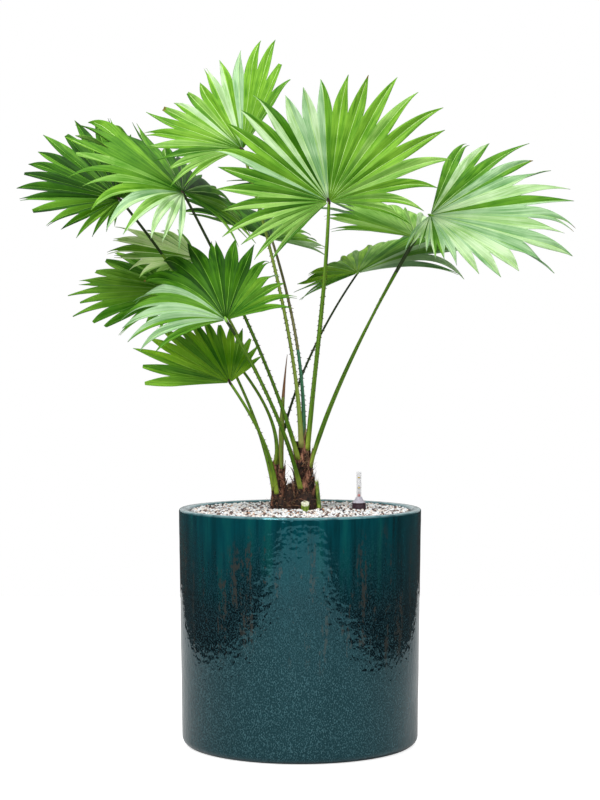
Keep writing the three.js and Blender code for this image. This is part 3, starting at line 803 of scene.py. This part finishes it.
class Fan:
    """The blade of one leaf: leaflets that are joined out to their splits and free beyond."""

    def __init__(self, name, leaf):
        self.name, self.leaf = name, leaf
        self.rng = random.Random("fan " + name)
        self.axes = blade_axes(leaf)
        self.shape = Shape()
        self.spread = radians(leaf.spread)
        self.step = 2 * self.spread / leaf.leaflets

    def dress(self):
        leaf = self.leaf
        ridges = [self.ridge(k) for k in range(leaf.leaflets + 1)]
        for k in range(leaf.leaflets):
            self.leaflet(k, ridges[k], ridges[k + 1], self.two_tints(k))
        uppers = list(dict.fromkeys(self.shape.kinds))
        unders = ["tip_brown" if kind == "tip_brown" else "under_" + leaf.under for kind in uppers]
        self.shape.object(
            f"fan_{self.name}_blade", "leaf", uppers + unders, ["fan_" + self.name],
            thickness=BLADE.thickness,
        )

    def two_tints(self, k):
        """The colours of the halves of a leaflet, near those that the leaf has there; some halves take the
        next darker tint as painted shade in the fold.
        """
        tints = self.leaf.tints.split()
        pair = []
        for _ in range(2):
            place = (k + 0.5) / self.leaf.leaflets * len(tints) + self.rng.gauss(0, TINT_DRIFT)
            tint = tints[min(max(int(place), 0), len(tints) - 1)]
            pair.append("leaf_" + (FOLD_SHADE_TINT[tint] if self.rng.random() < FOLD_SHADE_SHARE else tint))
        return pair

    def crest(self, distance):
        return BLADE.pleat * distance * self.step / 2

    def heading(self, angle, distance, bend):
        """Which way a line of the blade runs at a distance from the hub."""
        leaf = self.leaf
        aim, face, side = self.axes
        run = distance / listed(leaf, leaf.lengths, angle)
        fall = listed(leaf, leaf.droops, angle) * run ** BLADE.bend_sharpness
        flat = aim * cos(angle) + side * sin(angle)
        flat += face * (leaf.fold * abs(sin(angle)))
        course = flat.normalized() + DOWN * fall
        if bend:
            share = bend.share(distance)
            lateral = side * cos(angle) - aim * sin(angle)
            stray = DOWN * (bend.fall * share * share) + lateral * (bend.sway * share)
            course += stray + face * (bend.lift * share)
        return course.normalized()

    def walk(self, angle, stations, bend=None):
        """Points at distances from the hub along one line of the blade, each with its own axes."""
        aim, _, side = self.axes
        point, distance, found = Vector(self.leaf.hub), 0.0, []
        for station in stations:
            steps = max(1, ceil((station - distance) / BLADE.stride))
            step = (station - distance) / steps
            for _ in range(steps):
                point = point + self.heading(angle, distance + step / 2, bend) * step
                distance += step
            along = self.heading(angle, station, bend)
            lateral = flat_normal(side * cos(angle) - aim * sin(angle), along)
            if bend:
                lateral = Matrix.Rotation(bend.twist * bend.share(station), 3, along) @ lateral
            found.append((point.copy(), along, lateral, along.cross(lateral)))
        return found

    def joined_part(self, angle, split):
        """The distances and places of the rows out to a split."""
        stations = [lerp(BLADE.hub_radius, split, share) for share in shares(BLADE.joined_steps)]
        return stations, self.walk(angle, stations)

    def ridge(self, k):
        """The fold between two leaflets, from the hub to their split."""
        angle = -self.spread + k * self.step
        split = split_at(self.leaf, angle)
        stations, frames = self.joined_part(angle, split)
        spots = [p + n * self.crest(d) for (p, _, _, n), d in zip(frames, stations)]
        marks = [self.shape.add(p, 0, d, crease=("ridge", k)) for p, d in zip(spots, stations)]
        return Values(spots=spots, marks=marks, split=split)

    def columns(self, points, rib, distance, hand):
        """Adds points to one side of a rib, with their distances from it as pattern coordinates."""
        return [self.shape.add(p, hand * (p - rib).length, distance) for p in points]

    def leaflet(self, k, before, after, pair):
        """One leaflet: its part of the joined blade, then its free part."""
        leaf, rng, shape = self.leaf, self.rng, self.shape
        angle = -self.spread + (k + 0.5) * self.step
        split = (before.split + after.split) / 2
        length = listed(leaf, leaf.lengths, angle) * (1 + BLADE.length_spread * rng.uniform(-1, 1))
        bend = Bend(leaf.wild, rng, split, length)
        ending = rng.random()
        fork_at, cut = None, 1.0
        if ending < leaf.blunt:
            cut = rng.uniform(*ENDS.blunt_cut)
        elif ending < leaf.blunt + leaf.bifid:
            fork_at = rng.uniform(*ENDS.fork_from)
        brown = rng.random() < ENDS.brown

        stations, frames = self.joined_part(angle, split)
        rows = []
        for i, (distance, (point, along, lateral, normal)) in enumerate(zip(stations, frames)):
            rib = point - normal * self.crest(distance)
            left, right = (half_columns(ridge.spots[i], rib, normal)[1:] for ridge in (before, after))
            row = [before.marks[i], *self.columns(left, rib, distance, 1)]
            row.append(shape.add(rib, 0, distance, crease=("rib", k)))
            rows.append(row + self.columns(reversed(right), rib, distance, -1) + [after.marks[i]])

        # How far the two edges stand from the rib at the split: across, up and ahead of it
        arms = []
        for ridge in (before, after):
            arm = ridge.spots[-1] - rib
            arms.append((arm.dot(lateral), arm.dot(normal), arm.dot(along)))

        free = [cut * (i + 1) / BLADE.free_steps for i in range(BLADE.free_steps)]
        far = self.walk(angle, [lerp(split, length, share) for share in free], bend)
        left_rows, right_rows = [rows[-1][:RIB_COLUMN + 2]], [rows[-1][RIB_COLUMN + 1:]]
        for share, (point, along, lateral, normal) in zip(free, far):
            distance = lerp(split, length, share)
            width = max(1 - share ** BLADE.taper, BLADE.narrowest)
            flatten = (1 - BLADE.flattened * share) * width
            ahead_share = (1 - share) ** 2
            rib = point - normal * (self.crest(split) * (1 - BLADE.shallower * share))
            opening = 0.0 if fork_at is None else max(0.0, (share - fork_at) / (1 - fork_at))
            if opening:
                width = (1 - fork_at ** BLADE.taper) * (1 - ENDS.fork_narrows * opening)
                ahead_share = 0.0
            halves = []
            for across, up, ahead in arms:
                edge = rib + lateral * (across * width) + normal * (up * flatten)
                edge += along * (ahead * ahead_share)
                inner = rib.lerp(edge, ENDS.fork_opens * opening ** 0.8)
                halves.append((half_columns(edge, inner, normal), inner))
            (left, left_rib), (right, right_rib) = halves
            left_row = self.columns(left, rib, distance, 1)
            left_row.append(shape.add(left_rib, 0, distance, crease=("rib", k)))
            right_start = left_row[-1]
            if opening:
                right_start = shape.add(right_rib, 0, distance, crease=("rib", k))
            left_rows.append(left_row)
            right_rows.append([right_start, *self.columns(reversed(right), rib, distance, -1)])

        rib_kind, steps = "rib_" + leaf.rib, BLADE.free_steps

        def joined_kind(row, column):
            return rib_kind if column in (RIB_COLUMN, RIB_COLUMN + 1) else pair[column > RIB_COLUMN]

        def free_kind(rib_column, tint):
            def kind(row, column):
                if brown and row >= steps - 1:
                    return "tip_brown"
                return rib_kind if column == rib_column and row < steps - 2 else tint
            return kind

        shape.strip(rows, joined_kind, turned=True)
        shape.strip(left_rows, free_kind(RIB_COLUMN, pair[0]), turned=True)
        shape.strip(right_rows, free_kind(0, pair[1]), turned=True)


def hastula(shape, leaf):
    """The small woody tongue where a petiole ends in its blade."""
    aim, _, side = blade_axes(leaf)
    hub = Vector(leaf.hub)
    path = Path([hub - aim * 3.5, hub, hub + aim * 3, hub + aim * 6])

    def frames(share):
        width = 2.0 * sqrt(max(0.02, 1 - (2 * share - 0.9) ** 2))
        return side, width, width * 0.7

    tube(shape, path, frames, "rib_soft" if leaf.under == "silver" else "fibre_dark", 10, 8)


# Fibrous stems

FIBRES = ("fibre_dark", "fibre_red", "fibre_tan")


def stem_bark(name, stem):
    """The stem's own surface, with the ridges of old leaf bases going round and up."""
    rings, around = 70, 72

    def place(ring, k):
        height = lerp(PLANT_FOOT - 2, stem.tip[2] - 1, ring / rings)
        bearing = 360 * k / around
        spot, out = on_stem(name, bearing, height)
        ridge = abs(sin(radians(bearing * 2.5 + height * 9)))
        bump = 1.1 * ridge + 1.6 * rough(spot, 9, stem.seed) + 1.0 * rough(spot, 3.2, stem.seed + 7)
        sunk = 2.6 if ring == rings else 0.6
        return spot + out * (bump - sunk), k, height

    shape = Shape()
    shape.limb(shape.grid(range(rings + 1), range(around), place), "fibre_dark")
    shape.object(f"stem_{name}_bark", "fibre", ["fibre_dark"], ["stem_" + name])


def sheath(shape, name, bearing, low, tall, width, flare, kind, rng):
    """A pointed remnant of a leaf base that hugs its stem and leans out at its tip."""
    lean = rng.uniform(-14, 14)
    ragged = rng.uniform(0, 100)

    def place(v, across):
        u = 2 * across - 1
        height = low + tall * v * (1 - 0.12 * u * u)
        radius = stem_radius(name, stem_share(name, height))
        half = width * (1 - v ** 1.7) + 0.3
        turn = bearing + lean * v + degrees(u * half / radius)
        proud = 0.7 + flare * v * v + 0.5 * rough((u * 3, v * 9, ragged), 1, 3) - 0.6 * abs(u)
        spot, _ = on_stem(name, turn, min(height, STEMS[name].tip[2]), proud)
        spot.z = height
        return spot, u * half, v * tall

    shape.strip(shape.grid(shares(8), shares(6), place), kind)


def strand(shape, points, radius, kind):
    """A hair-thin fibre, three sided and pointed."""
    rows = []
    last = len(points) - 1
    for i, point in enumerate(points):
        along = (points[min(i + 1, last)] - points[max(i - 1, 0)]).normalized()
        across = flat_normal(Vector((0.3, 0.5, 0.8)), along)
        thin = radius * (1 - 0.8 * i / last)
        spots = oval(point, across, along.cross(across), thin, thin, 3)
        rows.append([shape.add(spot, k, i) for k, spot in enumerate(spots)])
    shape.limb(rows, kind)


def stem_dressing():
    """Sheaths and loose strands all over both stems."""
    rng = random.Random("fibres")
    sheaths = Shape()
    for name, stem in STEMS.items():
        for i in range(stem.sheaths):
            level = (i + 0.5) / stem.sheaths
            bearing = 137.5 * i + rng.uniform(-15, 15)
            low = lerp(PLANT_FOOT - 3, stem.tip[2] - 16, level)
            tall = rng.uniform(14, 26) * (1.0 if level < 0.7 else 1.35)
            width = rng.uniform(3.2, 6.5) * (1.1 - 0.3 * level)
            kind = "fibre_red" if rng.random() < 0.15 + 0.6 * level else "fibre_dark"
            if rng.random() < 0.12:
                kind = "fibre_tan"
            sheath(sheaths, name, bearing, low, tall, width, rng.uniform(0.5, 5.5), kind, rng)
    sheaths.object("stem_sheaths", "fibre", FIBRES + FIBRES, thickness=0.5)

    strands = Shape()
    for name, stem in STEMS.items():
        top = stem.tip[2]
        for _ in range(stem.strands):
            bearing = rng.uniform(0, 360)
            height = lerp(PLANT_FOOT, top - 6, rng.random() ** 1.3)
            turn = rng.choice((-1, 1)) * rng.uniform(20, 95)
            rise = rng.uniform(-4, 22)
            lift = rng.uniform(4, 10) if rng.random() < 0.14 else rng.uniform(0.0, 1.8)
            points = []
            for share in shares(5):
                level = max(height + rise * share, PLANT_FOOT)
                proud = 1.0 + lift * share ** 2 + rng.uniform(-0.3, 0.3)
                spot, _ = on_stem(name, bearing + turn * share, min(level, top), proud)
                spot.z = level
                points.append(spot)
            kind = rng.choice(("fibre_dark", *FIBRES))
            strand(strands, points, rng.uniform(0.22, 0.5), kind)
    strands.object("stem_strands", "fibre", FIBRES)


# Lumps of the matted foot: centre, half width and half height
LUMPS = (
    (-13, 3, 306, 9, 25), (-12, -6, 303, 8, 21), (-22, -3, 300, 9, 14), (6, -9, 303, 13, 20),
    (-6, 10, 303, 11, 20), (11, 3, 305, 10, 24), (-27, 6, 300, 8, 15), (15, -3, 300, 6, 14),
)


def on_lump(lump, out, reach):
    """A point in some direction from a lump's centre; reach is 1 on its skin."""
    x, y, z, wide, tall = lump
    return Vector((x, y, z)) + Vector((out.x * wide, out.y * wide, out.z * tall)) * reach


def root_collar():
    """The matted foot that fills the space between the two stems."""
    rng = random.Random("collar")
    shape = Shape()
    rings, around = 12, 28
    for number, lump in enumerate(LUMPS):
        shift = Vector((number, 0, 0))

        def place(ring, k):
            out = way(2 * pi * k / around, pi * (ring / rings - 0.5))
            reach = 1 + 0.16 * rough(out * 3 + shift, 1, 2) + 0.1 * rough(out * 9, 1, number)
            return on_lump(lump, out, reach), k, ring

        shape.limb(shape.grid(range(1, rings), range(around), place), "fibre_dark")
    for _ in range(300):
        lump = rng.choice(LUMPS)
        turn, lift = rng.uniform(0, 2 * pi), rng.uniform(0.0, 1.3)
        spin, climb = rng.choice((-1, 1)) * rng.uniform(0.3, 1.1), rng.uniform(-0.3, 0.4)
        points = []
        for share in shares(4):
            out = way(turn + spin * share, max(lift + climb * share, 0.05))
            reach = 1.07 + rng.uniform(0, 0.05) + (0.25 * share if rng.random() < 0.1 else 0)
            points.append(on_lump(lump, out, reach))
        strand(shape, points, rng.uniform(0.25, 0.55), rng.choice(FIBRES))
    shape.object("stem_root_mat", "fibre", FIBRES)


SPEAR = Values(
    bearing=310, height=350, tip=(-16, -32, 496), bow=-5,
    root_radius=3.2, belly_radius=3.6, belly_share=0.35, tip_radius=0.35,
    pleats=5, pleat_depth=0.12, brown_from=0.62, steps=60, sides=30,
)


def spear():
    """The closed young leaf: a folded blade, green below and brown towards its point."""
    foot, _ = on_stem("left", SPEAR.bearing, SPEAR.height, -PETIOLE.sunk)
    tip = Vector(SPEAR.tip)
    path = bezier((foot, foot.lerp(tip, 0.5) + Vector((SPEAR.bow, 0, 0)), tip))

    def place(share, turn):
        if share < SPEAR.belly_share:
            radius = lerp(SPEAR.root_radius, SPEAR.belly_radius, share / SPEAR.belly_share)
        else:
            past = (share - SPEAR.belly_share) / (1 - SPEAR.belly_share)
            radius = lerp(SPEAR.belly_radius, SPEAR.tip_radius, past)
        along = path.along(share)
        across = flat_normal(Vector((1, 0.2, 0)), along)
        fluted = radius * (1 - SPEAR.pleat_depth * abs(sin(SPEAR.pleats * turn + 3 * share)))
        spot = path.at(share) + across * (fluted * cos(turn))
        return spot + along.cross(across) * (fluted * 0.9 * sin(turn)), fluted * turn, share * path.length

    def kind(row, column):
        brown = row / SPEAR.steps > SPEAR.brown_from or column % 6 == 0
        return "spear_brown" if brown else "spear_green"

    shape = Shape()
    rows = shape.grid(shares(SPEAR.steps), turns(SPEAR.sides), place)
    kinds = ["spear_green", "spear_brown"]
    shape.limb(rows, kind, kinds)
    shape.object("spear_leaf_folded", "spear", kinds, ["spear_leaf"])


def stub(name, foot, tip, radii, slant):
    """A petiole cut off short: a green skin, and a pale face that is cut at a slant."""
    rng = random.Random(name)
    steps, sides = 12, 24
    path = Path([Vector(foot), Vector(foot).lerp(Vector(tip), 0.5), Vector(tip)])

    def place(step, k):
        share, turn = step / steps, 2 * pi * k / sides
        radius = lerp(*radii, share) * (1 + 0.06 * sin(5 * turn) + 0.03 * rng.uniform(-1, 1))
        rise = slant * share * sin(turn)
        return path.at(share) + Vector((radius * cos(turn), 0.85 * radius * sin(turn), rise)), k, step

    shape = Shape()
    rows = shape.grid(range(steps + 1), range(sides), place)
    shape.strip(rows, "stub_skin", closed=True)
    rim = [shape.points[i] / MM for i in rows[-1]]
    centre = sum(rim, Vector()) / sides
    inner = [shape.add(centre.lerp(spot, 0.78) + UP * rng.uniform(-0.3, 0.5)) for spot in rim]
    shape.strip([rows[-1], inner], "stub_face", closed=True)
    shape.face(tuple(inner), "stub_face")
    shape.face(tuple(reversed(rows[0])), "stub_skin")
    for _ in range(3):
        start = rng.choice(rim)
        points = []
        for share in shares(3):
            points.append(start + (UP * 4 + Vector((rng.uniform(-1, 1), rng.uniform(-1, 1), 0))) * share)
        strand(shape, points, 0.35, "stub_face")
    shape.object(name + "_dressed", "stub", ["stub_skin", "stub_face"], [name])


# Pot, granules and gauge

def pot():
    """The glazed cylinder: a slow taper, a rounded foot and lip, and a hardly uneven wall."""
    height, rim, foot, foot_round = POT.height, POT.rim_radius, POT.foot_radius, POT.foot_round
    lip_outer, lip_inner = POT.lip_outer, POT.lip_inner
    shoulder = height - lip_outer
    profile = [(0, 0), (60, 0), (foot - foot_round, 0)]
    profile += arc(foot - foot_round, foot_round, foot_round, -85, 0, 9)
    for share in shares(40)[1:-1]:
        profile.append((lerp(foot, rim, share), lerp(foot_round, shoulder, share)))
    profile += arc(rim - lip_outer, shoulder, lip_outer, 0, 90, 8)
    inner_rim = rim - POT.wall
    profile += arc(inner_rim + lip_inner, height - lip_inner, lip_inner, 90, 180, 8)
    inner_floor = lerp(foot, rim, POT.floor / height) - POT.wall
    profile += [(lerp(inner_floor, inner_rim, 0.7), 215), (inner_floor, POT.floor), (0, POT.floor)]
    shape = Shape()
    lathe(shape, profile, ["glaze"] * len(profile), 160)
    for i, point in enumerate(shape.points):
        spot = point / MM
        radius = hypot(spot.x, spot.y)
        if radius > 100 and spot.z > 1:
            uneven = 0.35 * rough(spot, 55, 1) + 0.12 * rough(spot, 12, 5) - 0.45
            shape.points[i] = point + Vector((spot.x, spot.y, 0)) / radius * uneven * MM
    shape.object("pot_glazed", "glaze", ["glaze"], ["pot"])


GOLDEN = (1 + sqrt(5)) / 2
CORNERS = [
    Vector(c).normalized()
    for c in (
        (-1, GOLDEN, 0), (1, GOLDEN, 0), (-1, -GOLDEN, 0), (1, -GOLDEN, 0),
        (0, -1, GOLDEN), (0, 1, GOLDEN), (0, -1, -GOLDEN), (0, 1, -GOLDEN),
        (GOLDEN, 0, -1), (GOLDEN, 0, 1), (-GOLDEN, 0, -1), (-GOLDEN, 0, 1),
    )
]
SIDES = (
    (0, 11, 5), (0, 5, 1), (0, 1, 7), (0, 7, 10), (0, 10, 11), (1, 5, 9), (5, 11, 4), (11, 10, 2),
    (10, 7, 6), (7, 1, 8), (3, 9, 4), (3, 4, 2), (3, 2, 6), (3, 6, 8), (3, 8, 9), (4, 9, 5),
    (2, 4, 11), (6, 2, 10), (8, 6, 7), (9, 8, 1),
)
STONES = {"white": 40, "cream": 27, "grey": 6, "brown": 16, "dark": 9, "rust": 2}
GRANULES = Values(pitch=4.6, row_share=0.866, jitter=0.9, size=(1.9, 2.8), reach=140.5, loose=1.3)
GAUGE_PLACE = (75.5, 6)
BARE = (((3, -1), 15), ((-28, 7), 8), (GAUGE_PLACE, 8.5))  # circles under the stems and the gauge


def rock(shape, centre, size, kind, rng):
    """A rounded granule: an uneven twenty-sided body, turned at random."""
    turn = Matrix.Rotation(rng.uniform(0, 6.28), 3, "Z") @ Matrix.Rotation(rng.uniform(0, 6.28), 3, "X")
    stretch = Vector((rng.uniform(0.8, 1.2), rng.uniform(0.75, 1.1), rng.uniform(0.65, 0.95)))
    marks = []
    for corner in CORNERS:
        spot = turn @ Vector(a * b for a, b in zip(corner, stretch))
        marks.append(shape.add(centre + spot * (size * rng.uniform(0.85, 1.12))))
    for side in SIDES:
        shape.face(tuple(marks[i] for i in side), kind)


def granules():
    """Loose granules in staggered rows over the fill, with a slight mound in the middle."""
    rng = random.Random("granules")
    shapes = {name: Shape() for name in STONES}
    pitch, jitter, reach = GRANULES.pitch, GRANULES.jitter, GRANULES.reach
    row_pitch = pitch * GRANULES.row_share
    rows, columns = int(reach / row_pitch) + 1, int(reach / pitch) + 1
    for i in range(-rows, rows + 1):
        for j in range(-columns, columns + 1):
            x = (j + 0.5 * (i % 2)) * pitch + rng.uniform(-jitter, jitter)
            y = i * row_pitch + rng.uniform(-jitter, jitter)
            size = rng.uniform(*GRANULES.size)
            kind = rng.choices(list(STONES), STONES.values())[0]
            from_middle = hypot(x, y)
            if reach - from_middle < size:
                continue
            if any(hypot(x - spot[0], y - spot[1]) < bare for spot, bare in BARE):
                continue
            mound = 1.2 * smooth(1 - from_middle / 90) + 0.9 * rough((x, y, 0), 22, 4)
            z = FILL_TOP - 0.5 + mound + rng.uniform(-GRANULES.loose, GRANULES.loose)
            rock(shapes[kind], Vector((x, y, z)), size, "stone_" + kind, rng)
    for name, shape in shapes.items():
        shape.object("granules_" + name, "granules", ["stone_" + name])


COLLAR_HEIGHT = 16.3
GAUGE_TUBE = Values(outer=3.2, inner=2.5, tall=32, cap=1.2, marks=(11.5, 24.5), mark_half=0.55)


def gauge():
    """A bell shaped collar on the granules, a clear tube with two marks, and the float in it."""
    collar = Shape()
    profile = [
        (0, 0), (9, 0), (9, 1.0), (9.0, 6.0), (8.7, 6.6), (8.7, 7.0), (9, 7.4), (9, 8.0),
        (8.6, 9.0), (7.6, 10.4), (6.3, 11.8), (5.2, 13.2), (4.5, 14.6),
        (4.1, COLLAR_HEIGHT), (0, COLLAR_HEIGHT),
    ]
    lathe(collar, profile, ["smoked"] * 8 + ["milky"] * 6, 48, (*GAUGE_PLACE, PLANT_FOOT))
    collar.object("gauge_collar_bell", "smoked_plastic", ["smoked", "milky"], ["gauge_collar"])

    above = (*GAUGE_PLACE, PLANT_FOOT + COLLAR_HEIGHT + CLEARANCE)
    outer, inner, tall = GAUGE_TUBE.outer, GAUGE_TUBE.inner, GAUGE_TUBE.tall
    outside = [
        (inner, 0), (outer, 0), (outer, tall - 0.8), (outer - 0.25, tall - 0.2), (outer - 0.8, tall),
        (0, tall),
    ]
    inside = [(0, tall - GAUGE_TUBE.cap), (inner, tall - GAUGE_TUBE.cap), (inner, 0)]
    clear = Shape()
    for profile in (outside, inside):
        lathe(clear, profile, ["clear"] * len(profile), 32, above)
    clear.object("gauge_tube_clear", "clear_plastic", ["clear"], ["gauge_tube"])

    def mark_spot(height, bearing):
        return [Vector(above) + way(radians(bearing)) * (outer + 0.1) + UP * height]

    marks = Shape()
    for level in GAUGE_TUBE.marks:
        for facing in (-90, 90):
            bearings = [facing + lerp(-28, 28, share) for share in shares(6)]
            heights = (level - GAUGE_TUBE.mark_half, level + GAUGE_TUBE.mark_half)
            marks.strip(marks.grid(heights, bearings, mark_spot), "mark_yellow")
    marks.object("gauge_marks", "float_red", ["mark_yellow", "mark_yellow"], thickness=0.15)

    rod = Shape()
    profile = [
        (0, 0), (1.5, 0.2), (1.9, 1.0), (1.9, 2.2), (1.4, 3.0), (0.7, 3.3), (0.7, 14.6), (0.4, 15), (0, 15),
    ]
    lathe(rod, profile, ["float_red"] * 5 + ["float_white"] * 3, 24, above)
    rod.object("gauge_float_rod", "float_red", ["float_red", "float_white"], ["gauge_float"], body="float")


# Stage, light and camera

def dress_bed():
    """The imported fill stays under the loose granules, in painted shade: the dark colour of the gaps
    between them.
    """
    bed = frame["nodes"]["granule_fill"]
    bed.data.materials.clear()
    bed.data.materials.append(MATERIALS["stone_gap_shade"])


def stage():
    """A pale floor that glows a little for the camera, so that it meets the white behind."""
    floor = Material("floor", Roughness=0.6)
    floor.colour(floor.ramp(floor.noise(3, detail=1.0), (0.2, 0.62), (0.8, 0.66)))
    glow = floor.math("MULTIPLY", floor.add("LightPath", output="Is Camera Ray"), 0.8)
    floor.feed(floor.shader, {"Emission Color": tone(1.0), "Emission Strength": glow})
    front, back, side = -3.0, 1.5, 0.78
    corners = [(-side, front, 0), (side, front, 0), (side, back, 0), (-side, back, 0)]
    mesh = bpy.data.meshes.new("floor")
    mesh.from_pydata(corners, [], [(0, 1, 2, 3)])
    mesh.materials.append(MATERIALS["floor"])
    plane = put("floor", mesh)
    plane.location.z = -0.0005


def world():
    """White behind the object, and a soft room for light and reflections, bright above."""
    setting = bpy.data.worlds.new("studio")
    bpy.context.scene.world = setting
    setting.use_nodes = True
    nodes = Nodes(setting.node_tree)
    up = nodes.add("SeparateXYZ", output=2, Vector=nodes.add("TexCoord", output="Generated"))
    room = nodes.ramp(up, (0.0, 0.06), (0.1, 0.08), (0.45, 0.22), (0.8, 0.55))
    rays = nodes.tree.nodes.new("ShaderNodeLightPath").outputs
    seen = nodes.math("MAXIMUM", rays["Is Camera Ray"], rays["Is Transmission Ray"])
    background = nodes.tree.nodes["Background"]
    nodes.feed(background, {"Color": nodes.mix(seen, room, 1.0), "Strength": 1.0})


def area_light(name, place, aim_height, size, power):
    """A rectangular lamp that looks at a height on the pot's axis."""
    data = bpy.data.lights.new(name, "AREA")
    data.shape = "RECTANGLE"
    data.size, data.size_y = size
    data.energy = power
    lamp = put(name, data)
    lamp.location = place
    aim = UP * aim_height - Vector(place)
    lamp.rotation_euler = aim.to_track_quat("-Z", "Y").to_euler()


def lights():
    area_light("key", (-1.2, -1.9, 2.5), 0.6, (0.9, 0.9), 54)
    area_light("strip", (0.0, -0.9, 2.8), 0.4, (2.6, 0.3), 17)
    area_light("fill", (2.0, -1.7, 1.4), 0.6, (1.2, 1.2), 12)
    area_light("top", (0.1, 0.3, 2.7), 0.6, (1.6, 1.6), 11)
    area_light("back", (0.0, 2.3, 1.22), 0.6, (4.2, 1.6), 14.5)
    area_light("front", (0.0, -3.4, 1.1), 0.5, (2.6, 1.4), 21.5)


CAMERA = Values(distance=2.552, height=0.5016, pitch=1.43, lens=90, sensor=36, nearest=0.05, farthest=40)


def camera():
    data = bpy.data.cameras.new("camera")
    data.lens = CAMERA.lens
    data.sensor_width = CAMERA.sensor
    data.sensor_fit = "AUTO"
    data.clip_start, data.clip_end = CAMERA.nearest, CAMERA.farthest
    eye = put("camera", data)
    eye.location = (0, -CAMERA.distance, CAMERA.height)
    eye.rotation_euler = (radians(90 - CAMERA.pitch), 0, 0)
    bpy.context.scene.camera = eye
    bpy.context.scene.view_settings.view_transform = "Standard"


make_materials()
camera()
stage()
world()
lights()
dress_bed()
pot()
granules()
gauge()
for stem_name, stem_values in STEMS.items():
    stem_bark(stem_name, stem_values)
stem_dressing()
root_collar()
spear()
stub("cut_stub_front", (6.3, -24, 294), (6.6, -24.5, 307.5), (4.6, 5.2), 3.6)
stub("cut_stub_side", (24.6, -4, 294), (21.2, -3, 335), (3.4, 2.2), 1.0)
tongues = Shape()
for leaf_name, leaf_values in LEAVES.items():
    petiole(leaf_name, leaf_values)
    Fan(leaf_name, leaf_values).dress()
    hastula(tongues, leaf_values)
tongues.object("leaf_tongues", "stalk", ["fibre_dark", "rib_soft"])
